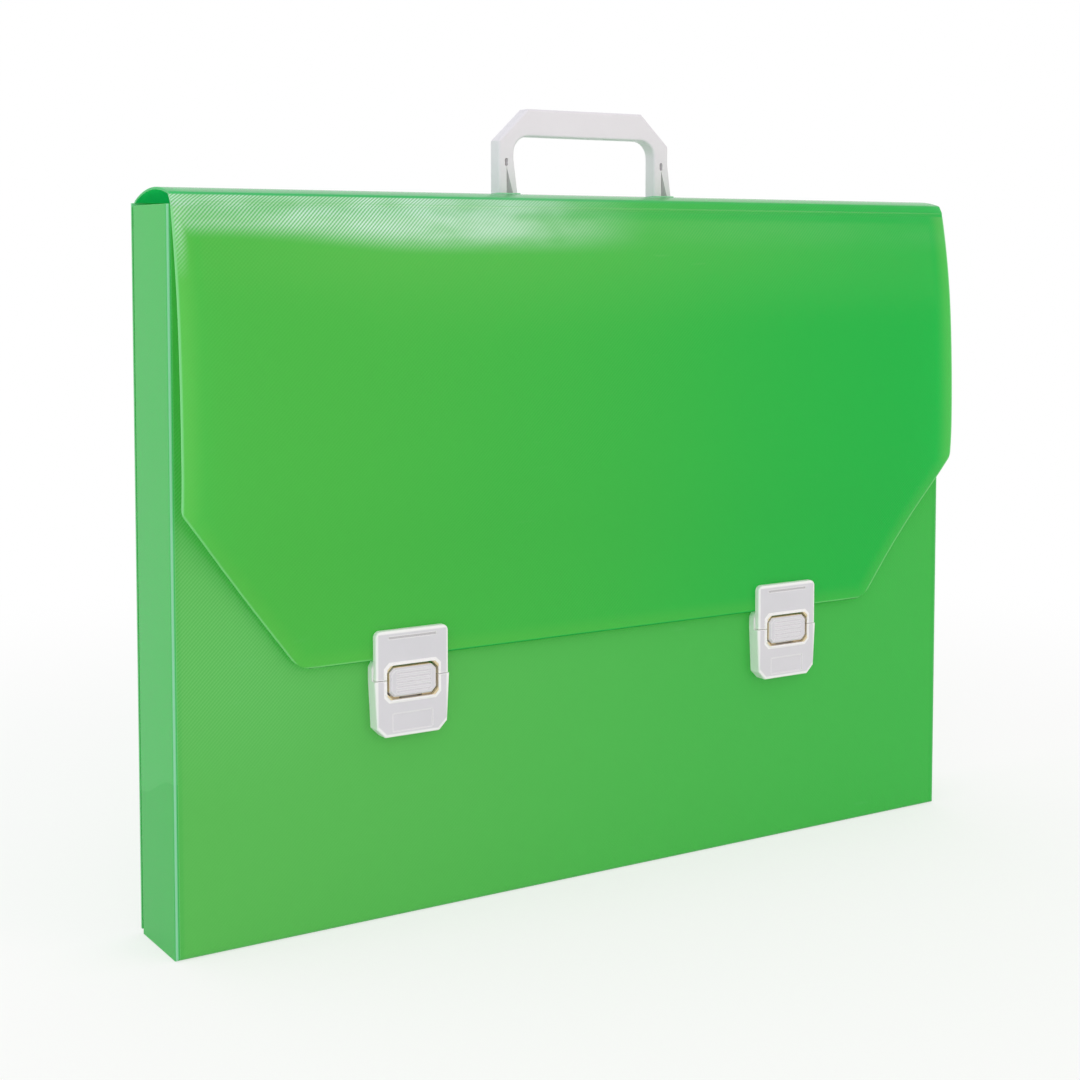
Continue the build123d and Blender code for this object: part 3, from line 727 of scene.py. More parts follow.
def painted_haze_under_crease(tree, spot):
    """Painted reflection of a soft lamp: a pale haze on the emboss under the front crease, mostly on the
    left.
    """
    lower = ramp(tree, spot["X"], -0.175, -0.080, 0.2660, 0.2600)
    band = ramp(tree, math(tree, "SUBTRACT", spot["Z"], lower), 0.0, haze_depth)
    outer_end = ramp(tree, spot["X"], -0.1830, -0.1868, 0.0, 0.8)
    corner = product(tree, ramp(tree, spot["Z"], 0.2500, 0.2680), outer_end)
    side = ramp(tree, spot["X"], 0.025, -0.065, 0.05, 1.0)
    patches = noise(tree, stretched(tree, spot["place"], patch_scale), 1.0, 2.0)
    uneven = ramp(tree, patches, 0.30, 0.62, 0.5, 1.0)
    lined = ramp(tree, spot["X"], -0.120, -0.050, 0.8, 0.35)
    hatch = math(tree, "MULTIPLY", math(tree, "SUBTRACT", spot["crest"], 0.5), lined)
    hatch = math(tree, "ADD", hatch, 0.64)
    return product(tree, math(tree, "MAXIMUM", band, corner), side, uneven, hatch)


def over_the_top(tree, spot):
    """The spine behind its front fold, where it looks up, paler on the left."""
    above = ramp(tree, spot["Z"], 0.28220, 0.28285)
    behind = math(tree, "MAXIMUM", above, ramp(tree, spot["Y"], -0.0160, -0.0150))
    return product(tree, behind, ramp(tree, spot["X"], -0.10, 0.12, 1.0, 0.2))


print("painted haze band", round(1000 * haze_depth), "mm deep")

# %% Lid and spine materials
front_crease = (-0.0194, 0.280)  # (y, z)
front_top = ("Y", front_crease[0], "Z", front_crease[1], 0.0012, 0.12)
lid_marks = [
    (edge_lit, edge_warm), (painted_haze_under_crease, haze_pale), (cut_line, edge_pale), (deep_edge_shade, edge_shade_green),
]
sheet_flap = sheet_material("sheet_flap", "X", "Z", [front_top], lid_marks, rim_share=0.15)
spine_marks = [(painted_haze_under_crease, haze_pale), (over_the_top, spine_green)]
sheet_spine = sheet_material("sheet_spine", "X", "YZ", [rear_top], spine_marks)
# The slot lips are pale all over: a painted highlight.
sheet_lip_highlight = sheet_material("sheet_lip_highlight", "X", "YZ", ends=(fold_pale, fold_pale))
sheet_crease = sheet_material("sheet_crease", "X", "YZ", [rear_top], spine_marks)
dress(sheet_spine, "spine_panel")
dress(sheet_flap, "flap_panel")
print("sheet materials:", sum(m.name.startswith("sheet_") for m in bpy.data.materials))

# %% [markdown]
# ## White mouldings
#
# The locks and the handle are injection moulded in an off-white plastic with a trace of lilac.
# The mould is finely textured, and the edges come out a little glossier; they are also painted
# paler, as a painted highlight. Some light passes through the plastic, as it does through milk.
# The hidden pieces behind the locks are a plainer grey-white.

# %% Mould grain
def grain_group():
    """Fine even texture that a spark-finished mould leaves."""
    group, start, end = new_group("ShaderNodeTree", "mould_grain", [
        ("Place", "NodeSocketVector", None),
        ("Size", "NodeSocketFloat", 0.0003),
    ], [("Height", "NodeSocketFloat")])
    scale = math(group, "DIVIDE", 1.0, start["Size"])
    fine = noise(group, start["Place"], scale, 2.0)
    wide = noise(group, start["Place"], math(group, "MULTIPLY", scale, 0.12), 1.0)
    group.links.new(math(group, "ADD", fine, math(group, "MULTIPLY", wide, 0.6)), end["Height"])
    return group


mould_grain = grain_group()
print("group", mould_grain.name)

# %% Moulding material
milky = (0.90, 0.88, 0.80, 1.0)  # light that has passed the plastic
moulding_index = 1.5
grain_size = 0.00035
grain_depth = 0.00005
dust_grey = srgb(176, 172, 166)


def moulding_material(name, colour, pale, roughness, rim_share, rim_width=0.0006, glow=0.0, marks=()):
    """Moulded plastic: grain, faint cloudiness, glossier edges with a painted highlight, a little dust.

    glow is the share of light from behind. Each mark is a mask function and its colour.
    """
    material, tree, shader, place = new_material(name)
    wear = place_group(tree, dust_and_scuffs, Place=place, Amount=0.5)
    cloud = ramp(tree, noise(tree, place, 60.0, 2.0), 0.35, 0.65, 0.0, 0.35)
    shade = blend_colours(tree, cloud, colour, [v * 0.94 for v in colour[:3]] + [1.0])
    rim = place_group(tree, edge_rim, Radius=rim_width)
    # The pale edge is a painted highlight.
    shade = blend_colours(tree, math(tree, "MULTIPLY", rim["Mask"], rim_share), shade, pale)
    split = tree.nodes.new("ShaderNodeSeparateXYZ")
    tree.links.new(place, split.inputs[0])
    for mask, mark_colour in marks:
        shade = blend_colours(tree, mask(tree, split.outputs), shade, mark_colour)
    shade = blend_colours(tree, math(tree, "MULTIPLY", wear["Mask"], 0.35), shade, dust_grey)
    tree.links.new(shade, shader.inputs["Base Color"])
    rough = math(tree, "ADD", math(tree, "MULTIPLY", wear["Cloud"], 0.08), roughness)
    rough = math(tree, "SUBTRACT", rough, math(tree, "MULTIPLY", rim["Mask"], 0.08))
    tree.links.new(rough, shader.inputs["Roughness"])
    shader.inputs["IOR"].default_value = moulding_index
    grain = place_group(tree, mould_grain, Place=place, Size=grain_size)
    bump(tree, shader, grain["Height"], 0.12, grain_depth)
    if glow:
        let_light_through(tree, shader, milky, glow, milky, 0.8)
    return material


print("moulding material ready")

# %% [markdown]
# ## Rims and gaps of the locks
#
# White rims are painted round the outline of each lock and round the opening of its button: a
# painted highlight on their rounded edges. A shallow groove runs along the top of the hasp,
# darkened by painted shade, and the gap round the button looks warm, because the light in it has
# passed the plastic. The two locks are alike, so one set of
# masks serves both, on the distance from the middle of a lock.

# %% Masks of the locks
lock_offset = 0.094  # from the middle of the case
lock_half = 0.0163  # of its width
lock_top = 0.1155
lock_foot = 0.0735
foot_half = 0.0119  # of the lower edge, between its cut corners
groove_half = 0.0104
groove_height = 0.1126
opening_middle = 0.095
opening_half = 0.0113  # of its width
opening_rise = 0.0067  # from its middle to its top
opening_corner = 0.0165  # across plus up, on the cut corners of the opening
diagonal = 0.5 ** 0.5


def in_lock(tree, spot):
    """Distance to the left or right of a lock's middle."""
    away = math(tree, "SUBTRACT", math(tree, "ABSOLUTE", spot["X"]), lock_offset)
    return math(tree, "ABSOLUTE", away)


def hasp_groove_shade(tree, spot):
    """Painted shade in the shallow groove that runs along the top of each hasp."""
    along = ramp(tree, in_lock(tree, spot), groove_half - 0.0002, groove_half + 0.0002, 1.0, 0.0)
    rise = math(tree, "ABSOLUTE", math(tree, "SUBTRACT", spot["Z"], groove_height))
    return product(tree, along, ramp(tree, rise, 0.0003, 0.0006, 0.45, 0.0))


def from_opening(tree, spot):
    """Distance outwards from the button's opening, negative inside it."""
    across = in_lock(tree, spot)
    up = math(tree, "ABSOLUTE", math(tree, "SUBTRACT", spot["Z"], opening_middle))
    beside = math(tree, "SUBTRACT", across, opening_half)
    above = math(tree, "SUBTRACT", up, opening_rise)
    corner = math(tree, "SUBTRACT", math(tree, "ADD", across, up), opening_corner)
    corner = math(tree, "MULTIPLY", corner, diagonal)
    return math(tree, "MAXIMUM", math(tree, "MAXIMUM", beside, above), corner)


def lock_rim_highlights(tree, spot):
    """Painted highlight: white rims round each lock and round its button's opening."""
    across = in_lock(tree, spot)
    from_side = math(tree, "SUBTRACT", lock_half, across)
    from_top = math(tree, "SUBTRACT", lock_top, spot["Z"])
    from_foot = math(tree, "SUBTRACT", spot["Z"], lock_foot)
    corner = math(tree, "SUBTRACT", from_foot, math(tree, "SUBTRACT", across, foot_half))
    outer = math(tree, "MULTIPLY", corner, diagonal)
    for distance in (from_side, from_top, from_foot):
        outer = math(tree, "MINIMUM", outer, distance)
    rim = ramp(tree, outer, 0.0009, 0.0016, 0.9, 0.0)
    away = from_opening(tree, spot)
    ring = product(tree, ramp(tree, away, 0.0, 0.0002), ramp(tree, away, 0.0011, 0.0015, 0.9, 0.0))
    return math(tree, "MAXIMUM", rim, ring)


def button_gap(tree, spot):
    """The walls of the gap round the button, warm from the light that has passed the plastic."""
    away = from_opening(tree, spot)
    return product(tree, ramp(tree, away, -0.0012, -0.0009), ramp(tree, away, -0.0001, 0.0001, 0.9, 0.0))


print("locks", round(2000 * lock_half, 1), "mm wide and", round(1000 * (lock_top - lock_foot), 1), "high")

# %% Mouldings
lock_white = srgb(219, 217, 226)
handle_white = srgb(228, 226, 234)
# painted highlight on the moulded edges
rim_highlight_white = srgb(250, 249, 252)
# painted shade in the hasp's groove
groove_shade_grey = srgb(176, 173, 176)
gap_warm = srgb(226, 206, 160)
hidden_grey = srgb(196, 194, 198)
hidden_rim = srgb(214, 212, 216)
lock_marks = [(hasp_groove_shade, groove_shade_grey), (lock_rim_highlights, rim_highlight_white), (button_gap, gap_warm)]
lock_plastic = moulding_material(
    "lock_plastic", lock_white, rim_highlight_white, roughness=0.38, rim_share=0.9, rim_width=0.0010, glow=0.08,
    marks=lock_marks,
)
handle_plastic = moulding_material(
    "handle_plastic", handle_white, rim_highlight_white, roughness=0.36, rim_share=0.6, rim_width=0.0008, glow=0.10,
)
hidden_plastic = moulding_material(
    "hidden_plastic", hidden_grey, hidden_rim, roughness=0.5, rim_share=0.4,
)
for side in ("left", "right"):
    dress(lock_plastic, f"{side}_hasp", f"{side}_lock_housing", f"{side}_push_button")
    dress(hidden_plastic, f"{side}_hasp_backplate", f"{side}_lock_backplate", f"{side}_catch_slider")
dress(handle_plastic, "handle")
print("mouldings dressed")

# %% [markdown]
# ## Making plain meshes from geometry trees
#
# What repeats or follows a rule is made by a geometry tree with named sizes. The finished piece
# must be a plain mesh: the evaluated object is turned into one, and the modifier goes.

# %% From a tree to a mesh
def socket_id(group, title):
    """Identifier of a named input, by which a modifier takes its value."""
    for item in group.interface.items_tree:
        if item.item_type == "SOCKET" and item.in_out == "INPUT" and item.name == title:
            return item.identifier
    raise KeyError(title)


def end_tree(group, geometry, material, end):
    """The last steps of every geometry tree: real instances, and the material."""
    real = group.nodes.new("GeometryNodeRealizeInstances")
    group.links.new(geometry, real.inputs[0])
    finish = group.nodes.new("GeometryNodeSetMaterial")
    group.links.new(real.outputs[0], finish.inputs["Geometry"])
    group.links.new(material, finish.inputs["Material"])
    group.links.new(finish.outputs[0], end["Geometry"])


def grown(name, mesh, group, values, finish=()):
    """Object whose mesh is what a geometry tree makes, with plain modifiers after it."""
    seed = bpy.data.objects.new(name + "_seed", mesh)
    bpy.context.scene.collection.objects.link(seed)
    if group is not None:
        modifier = seed.modifiers.new("tree", "NODES")
        modifier.node_group = group
        for title, value in values.items():
            modifier[socket_id(group, title)] = value
    for kind, settings in finish:
        extra = seed.modifiers.new(kind.lower(), kind)
        for key, value in settings.items():
            setattr(extra, key, value)
    graph = bpy.context.evaluated_depsgraph_get()
    result = bpy.data.meshes.new_from_object(
        seed.evaluated_get(graph), preserve_all_data_layers=False, depsgraph=graph,
    )
    bpy.data.objects.remove(seed)
    result.name = name
    return add_piece(name, result)


def add_piece(name, mesh, sharp=35.0):
    """Object at the origin with smooth shading, but for edges sharper than an angle in degrees."""
    for face in mesh.polygons:
        face.use_smooth = True
    mesh.set_sharp_from_angle(angle=radians(sharp))
    piece = bpy.data.objects.new(name, mesh)
    bpy.context.scene.collection.objects.link(piece)
    return piece


print("helpers for trees ready")

# %% Meshes from points
merge_distance = 1e-7


def mesh_from(name, points, faces):
    """Plain mesh from points and faces, with its normals pointing out."""
    work = bmesh.new()
    corners = [work.verts.new(point) for point in points]
    for face in faces:
        work.faces.new([corners[index] for index in face])
    bmesh.ops.remove_doubles(work, verts=work.verts, dist=merge_distance)
    bmesh.ops.recalc_face_normals(work, faces=work.faces)
    mesh = bpy.data.meshes.new(name)
    work.to_mesh(mesh)
    work.free()
    return mesh


def mark_inner_side(piece, inwards):
    """Marks the faces that look inwards, where more light comes from behind than from in front."""
    marks = piece.data.attributes.new("inner_side", "FLOAT", "FACE")
    for face in piece.data.polygons:
        marks.data[face.index].value = 1.0 if face.normal.dot(inwards) > 0.5 else 0.0


def measured(piece):
    """Faces and size in mm, for the printout."""
    spots = [v.co for v in piece.data.vertices]
    size = [round(1000 * (max(p[i] for p in spots) - min(p[i] for p in spots)), 2) for i in range(3)]
    return f"{piece.name}: {len(piece.data.polygons)} faces, {size} mm"


print("geometry helpers ready")

# %% [markdown]
# ## The bowed lid
#
# The lid leaves the crease leaning forward, bows out, and comes back to lie flat where the locks
# clamp it. Its side view follows a rule: four arcs, each tangent to the next, then a straight
# run. The CAD solid has the same bow in broad facets. Here a flat outline, cut in rows, is bent by
# a geometry tree that works out the depth of each arc, and then gets its millimetre of thickness
# and slightly rounded edges, which catch the light as cut sheet does. The lid starts a little way
# from the crease, so that it clears the spine when it is wide open.

# %% Arcs of the bow
lean = radians(12.0)
fullest = Vector((-0.0277, 0.184))  # (y, z) of the middle of the sheet
flat_y = -0.0215
flat_top = Vector((flat_y, 0.118))
leaving = Vector((-sin(lean), -cos(lean)))
lid_gap = 0.00175  # from the crease, so that the open lid clears the spine
lid_start = Vector(front_crease) + leaving * lid_gap
straight_down = Vector((0.0, -1.0))


def arc_through(start, tangent, end):
    """Centre and signed radius of the arc that leaves start along tangent and reaches end."""
    normal = Vector((-tangent.y, tangent.x))
    chord = end - start
    radius = chord.length_squared / (2 * chord.dot(normal))
    centre = start + normal * radius
    arriving = Vector((centre.y - end.y, end.x - centre.x)) / radius
    return centre, radius, arriving


def arc_joint(start, tangent, end, arriving):
    """Point where two arcs, tangent to each other, meet between two points and directions."""
    chord = end - start
    turning = tangent + arriving
    square = 4 - turning.dot(turning)
    across = chord.dot(turning)
    reach = ((across ** 2 + square * chord.dot(chord)) ** 0.5 - across) / square
    return (start + end + (tangent - arriving) * reach) * 0.5


joint = arc_joint(lid_start, leaving, fullest, straight_down)
under = (fullest + flat_top) * 0.5
bow_arcs = []
heading = leaving
for start, end in ((lid_start, joint), (joint, fullest), (fullest, under), (under, flat_top)):
    centre, radius, heading = arc_through(start, heading, end)
    bow_arcs.append((centre, radius, end.y))
    print("arc down to z", round(1000 * end.y, 1), "with radius", round(1000 * radius, 1), "mm")

# %% Tree that bends the lid
def arc_depth_group():
    """Depth of a point at a height on an arc with a signed radius."""
    group, start, end = new_group("GeometryNodeTree", "arc_depth", [
        ("Height", "NodeSocketFloat", 0.0),
        ("Centre Depth", "NodeSocketFloat", 0.0),
        ("Centre Height", "NodeSocketFloat", 0.0),
        ("Radius", "NodeSocketFloat", 1.0),
    ], [("Depth", "NodeSocketFloat")])
    rise = math(group, "SUBTRACT", start["Height"], start["Centre Height"])
    square = math(group, "MULTIPLY", start["Radius"], start["Radius"])
    square = math(group, "SUBTRACT", square, math(group, "MULTIPLY", rise, rise))
    reach = math(group, "MULTIPLY", math(group, "SQRT", square), math(group, "SIGN", start["Radius"]))
    group.links.new(math(group, "SUBTRACT", start["Centre Depth"], reach), end["Depth"])
    return group


def bow_group(arc_depth):
    """Moves each point of an upright flat outline to its depth on the bow."""
    inputs = [("Geometry", "NodeSocketGeometry", None), ("Flat Depth", "NodeSocketFloat", 0.0)]
    for number in range(1, 5):
        inputs += [
            (f"Arc {number} Centre Depth", "NodeSocketFloat", 0.0),
            (f"Arc {number} Centre Height", "NodeSocketFloat", 0.0),
            (f"Arc {number} Radius", "NodeSocketFloat", 1.0),
            (f"Arc {number} Lower End", "NodeSocketFloat", 0.0),
        ]
    inputs.append(("Finish", "NodeSocketMaterial", None))
    group, start, end = new_group("GeometryNodeTree", "lid_bow", inputs, [("Geometry", "NodeSocketGeometry")])
    position = group.nodes.new("GeometryNodeInputPosition").outputs[0]
    split = group.nodes.new("ShaderNodeSeparateXYZ")
    group.links.new(position, split.inputs[0])
    height = split.outputs["Z"]
    depth = start["Flat Depth"]
    for number in range(4, 0, -1):
        on_arc = place_group(
            group, arc_depth, "GeometryNodeGroup", Height=height,
            Centre_Depth=start[f"Arc {number} Centre Depth"],
            Centre_Height=start[f"Arc {number} Centre Height"], Radius=start[f"Arc {number} Radius"],
        )["Depth"]
        above = math(group, "GREATER_THAN", height, start[f"Arc {number} Lower End"])
        step = math(group, "MULTIPLY", above, math(group, "SUBTRACT", on_arc, depth))
        depth = math(group, "ADD", depth, step)
    join = group.nodes.new("ShaderNodeCombineXYZ")
    group.links.new(split.outputs["X"], join.inputs["X"])
    group.links.new(depth, join.inputs["Y"])
    group.links.new(height, join.inputs["Z"])
    move = group.nodes.new("GeometryNodeSetPosition")
    group.links.new(start["Geometry"], move.inputs["Geometry"])
    group.links.new(join.outputs[0], move.inputs["Position"])
    end_tree(group, move.outputs[0], start["Finish"], end)
    return group


lid_bow = bow_group(arc_depth_group())
print("lid tree:", len(lid_bow.nodes), "nodes")

# %% Outline of the lid
lid_foot_half = lid_half - chamfer_width
side_radius = 0.006
bottom_radius = 0.012
upper_rows = 26  # of the grid, down the straight side, where the bow is
slope_rows = 14
lid_columns = 36


def rounded_corner(before, corner, after, radius, steps):
    """Points of a fillet between two straight edges."""
    first = (before - corner).normalized()
    second = (after - corner).normalized()
    half_angle = first.angle(second) / 2
    centre = corner + (first + second).normalized() * (radius / sin(half_angle))
    start = corner + first * (radius / tan(half_angle)) - centre
    end = corner + second * (radius / tan(half_angle)) - centre
    turn = start.angle(end)
    points = []
    for step in range(steps + 1):
        share = step / steps
        points.append(centre + (start * sin((1 - share) * turn) + end * sin(share * turn)) / sin(turn))
    return points


def right_outline():
    """Right-hand edge of the lid, from the crease down to where the lower edge begins."""
    top = Vector((lid_half, lid_start.y))
    corner = Vector((lid_half, corner_height))
    foot = Vector((lid_foot_half, lid_edge))
    middle = Vector((0.0, lid_edge))
    side = rounded_corner(top, corner, foot, side_radius, steps=8)
    bottom = rounded_corner(corner, foot, middle, bottom_radius, steps=10)
    upper = [top.lerp(side[0], step / upper_rows) for step in range(upper_rows)]
    slope = [side[-1].lerp(bottom[0], step / slope_rows) for step in range(1, slope_rows)]
    return upper + side + slope + bottom


def lid_outline_mesh(columns):
    """Flat upright outline of the lid, cut in rows that end on its edge."""
    edge = right_outline()
    points = []
    faces = []
    for spot in edge:
        points += [(spot.x * (2 * column / columns - 1), 0.0, spot.y) for column in range(columns + 1)]
    for row in range(len(edge) - 1):
        for column in range(columns):
            first = row * (columns + 1) + column
            faces.append((first, first + 1, first + columns + 2, first + columns + 1))
    return mesh_from("lid_outline", points, faces)


print("right edge of the lid:", len(right_outline()), "points")

# %% Lid sheet
sheet_thickness = 0.001
bow_values = {"Flat Depth": flat_y, "Finish": sheet_flap}
for number, (centre, radius, lower_end) in enumerate(bow_arcs, 1):
    bow_values[f"Arc {number} Centre Depth"] = centre.x
    bow_values[f"Arc {number} Centre Height"] = centre.y
    bow_values[f"Arc {number} Radius"] = radius
    bow_values[f"Arc {number} Lower End"] = lower_end
sheet_finish = (
    ("SOLIDIFY", {"thickness": sheet_thickness, "offset": 0.0, "use_even_offset": True}),
    ("BEVEL", {
        "width": 0.00022, "segments": 2, "limit_method": "ANGLE", "angle_limit": radians(40),
        "use_clamp_overlap": False,
    }),
)
lid_sheet = grown("lid_sheet", lid_outline_mesh(lid_columns), lid_bow, bow_values, sheet_finish)
mark_inner_side(lid_sheet, Vector((0.0, 1.0, 0.0)))
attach(lid_sheet, "flap")
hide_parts("flap_panel")
print(measured(lid_sheet))

# %% [markdown]
# ## The arched spine
#
# The strip between the two top creases goes up from the front crease for three millimetres, then
# folds over and runs to the rear crease in a shallow arch. Two slots let the handle through, each
# with a low lip round it. The strip is a grid with the slots left out, laid on the side view point
# by point, and thickened as the lid is.

# %% Side view of the spine
arch_middle = Vector((-0.00360, 0.23585))  # (y, z) of the centre of the spine's arch
arch_radius = 0.04915  # to the middle of the sheet
spine_fold = Vector((-0.01771, 0.28293))
fold_radius = 0.0012
slot_rear = 0.0031  # y of a slot's two long sides
slot_front = -0.0045


def on_arch(y, lift=0.0):
    """Point on the spine's arch at a depth, at a height over the middle of the sheet."""
    radius = arch_radius + lift
    return Vector((y, arch_middle.y + (radius ** 2 - (y - arch_middle.x) ** 2) ** 0.5))


def evenly(first, last, steps):
    """Numbers from first to just before last."""
    return [first + (last - first) * step / steps for step in range(steps)]


arch_start = rear_crease[0] - 0.0009
arch_end = spine_fold.x + 0.0010
side_view = []
for first, last, steps in ((arch_start, slot_rear, 9), (slot_rear, slot_front, 5), (slot_front, arch_end, 9)):
    side_view += [on_arch(y) for y in evenly(first, last, steps)]
crease_end = Vector(front_crease) + (Vector(front_crease) - spine_fold).normalized() * 0.0003
side_view += rounded_corner(on_arch(arch_end), spine_fold, crease_end, fold_radius, steps=6)
side_view += [side_view[-1].lerp(crease_end, share) for share in (0.5, 1.0)]
print("side view of the spine:", len(side_view), "points")

# %% Spine sheet
slot_sides = ((-0.0428, -0.0329), (0.0348, 0.0447))  # x of each slot's two ends
column_width = 0.007


def spine_mesh():
    """Grid of the spine, with no faces in the two slots."""
    stops = [-lid_half] + [x for pair in slot_sides for x in pair] + [lid_half]
    columns = []
    for first, last in zip(stops, stops[1:]):
        columns += evenly(first, last, max(4, round((last - first) / column_width)))
    columns.append(lid_half)
    points = [(x, spot.x, spot.y) for spot in side_view for x in columns]
    faces = []
    for row in range(len(side_view) - 1):
        beside_slot = side_view[row].x > slot_rear + 1e-6 or side_view[row + 1].x < slot_front - 1e-6
        for column in range(len(columns) - 1):
            middle = (columns[column] + columns[column + 1]) / 2
            if beside_slot or not any(low < middle < high for low, high in slot_sides):
                first = row * len(columns) + column
                faces.append((first, first + 1, first + 1 + len(columns), first + len(columns)))
    mesh = mesh_from("spine_sheet", points, faces)
    if sum(face.normal.z for face in mesh.polygons) < 0:
        mesh.flip_normals()  # an open grid has no inside, so its normals may come out either way
    mesh.materials.append(sheet_spine)
    return mesh


spine_sheet = grown("spine_sheet", spine_mesh(), None, {}, sheet_finish)
mark_inner_side(spine_sheet, Vector((0.0, 0.4, -0.9)).normalized())
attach(spine_sheet, "spine")
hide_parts("spine_panel")
print(measured(spine_sheet))

# %% Slot lips
lip_profile = (  # (distance from the slot, height over the sheet)
    (0.0, -0.0004), (0.0, 0.0003), (0.00012, 0.00048),
    (0.0005, 0.00048), (0.0007, 0.0003), (0.0007, -0.0004),
)
slot_corner = 0.0004


def slot_path(low, high, steps=5):
    """Points round a slot with rounded corners, each with its direction outwards."""
    path = []
    corners = ((high, slot_rear), (low, slot_rear), (low, slot_front), (high, slot_front))
    for turn, (x, y) in enumerate(corners):
        inwards = Vector((-1 if x == high else 1, -1 if y == slot_rear else 1)) * slot_corner
        for step in range(steps + 1):
            angle = pi / 2 * (turn + step / steps)
            out = Vector((cos(angle), sin(angle)))
            path.append((Vector((x, y)) + inwards + out * slot_corner, out))
    return path


def lip_mesh():
    """A low collar round each slot, following the arch."""
    points = []
    faces = []
    for low, high in slot_sides:
        path = slot_path(low, high)
        start = len(points)
        for spot, out in path:
            for away, rise in lip_profile:
                place = spot + out * away
                points.append((place.x, place.y, on_arch(place.y, sheet_thickness / 2 + rise).y))
        ring = len(lip_profile)
        count = len(path)
        for step in range(count):
            for index in range(ring):
                here = start + step * ring
                there = start + (step + 1) % count * ring
                after = (index + 1) % ring
                faces.append((here + index, here + after, there + after, there + index))
    return mesh_from("slot_lips", points, faces)


lips = lip_mesh()
# The lips are pale all over: a painted highlight.
lips.materials.append(sheet_lip_highlight)
slot_lips = add_piece("slot_lips", lips, 50.0)
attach(slot_lips, "spine")
print(measured(slot_lips))

# %% [markdown]
# ## Film at the two top creases
#
# On the real case the sheet is scored, not cut, at the creases: a film thinner than the sheet is
# left. The CAD leaves a slot there, because its panels are hinged. A strip with a thin middle
# fills it.

# %% Crease strips
film_stations = (  # (share of the gap, half of the film's thickness)
    (0.10, 0.00040), (0.45, 0.00040), (0.56, 0.00036), (0.66, 0.00030),
    (0.76, 0.00028), (0.86, 0.00031), (0.98, 0.00038), (1.25, 0.00040),
)
film_columns = 48
film_width = 0.9995  # share of the lid's


def film_points(crease, along, gap):
    """Rings of points across the film, one after another along the case."""
    across = Vector((-along.y, along.x))
    ring = [crease + along * (run * gap) + across * half for run, half in film_stations]
    ring += [crease + along * (run * gap) - across * half for run, half in reversed(film_stations)]
    points = []
    for column in range(film_columns + 1):
        x = lid_half * (2 * column / film_columns - 1) * film_width
        points += [(x, spot.x, spot.y) for spot in ring]
    return points


def crease_strip(name, crease, along, gap):
    """Film across the gap beside a crease, thin in the middle, along the whole case."""
    crease = Vector(crease)
    points = film_points(crease, along, gap)
    count = 2 * len(film_stations)
    faces = []
    for column in range(film_columns):
        for index in range(count):
            first = column * count + index
            second = column * count + (index + 1) % count
            faces.append((first, second, second + count, first + count))
    faces.append(tuple(range(count)))
    faces.append(tuple(film_columns * count + index for index in range(count)))
    mesh = mesh_from(name, points, faces)
    mesh.materials.append(sheet_crease)
    strip = add_piece(name, mesh, 60.0)
    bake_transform(strip)
    print(measured(strip))


arch_gap = 0.001
arch_leaving = (on_arch(arch_start) - Vector(rear_crease)).normalized()
crease_strip("spine_crease", rear_crease, arch_leaving, arch_gap)
crease_strip("flap_crease", front_crease, leaving, lid_gap)

# %% [markdown]
# ## Snap rivets
#
# Four plastic rivets hold the flanges of the gussets to the back panel. Their heads are low
# domes with a small dimple where the pin was pressed in. One rivet is turned on a lathe, and a
# geometry tree repeats it up the flange and on both sides.

# %% Rivet
def turned(name, profile, steps, material):
    """Closed solid of revolution about Y, from (radius, y) points that start and end on the axis."""
    points = []
    faces = []
    for radius, y in profile:
        for step in range(steps):
            angle = 2 * pi * step / steps
            points.append((radius * cos(angle), y, radius * sin(angle)))
    for ring in range(len(profile) - 1):
        for step in range(steps):
            first = ring * steps + step
            second = ring * steps + (step + 1) % steps
            faces.append((first, second, second + steps, first + steps))
    mesh = mesh_from(name, points, faces)
    mesh.materials.append(material)
    return mesh


def head_profile(face, outward, radius=0.0040, rise=0.0012):
    """Domed head with a dimple, from the axis outwards, on a face that looks along outward Y."""
    shares = [(0.0, 0.62), (0.24, 0.62), (0.30, 0.97)]  # of the radius and of the rise: the dimple
    for step in range(1, 8):
        angle = pi / 2 * step / 8
        shares.append((0.30 + 0.70 * sin(angle), 0.15 + 0.83 * cos(angle)))
    shares += [(1.0, 0.12), (1.0, 0.0)]
    return [(radius * out, face + outward * rise * up) for out, up in shares]


shank_radius = 0.0020
inner_face = back_y - 2 * sheet_thickness
outer_head = head_profile(back_y, 1)
inner_head = head_profile(inner_face, -1)
rivet_profile = outer_head + [(shank_radius, back_y), (shank_radius, inner_face)] + inner_head[::-1]
rivet_mesh = turned("rivet", rivet_profile, 32, hidden_plastic)
print("one rivet:", len(rivet_mesh.polygons), "faces")

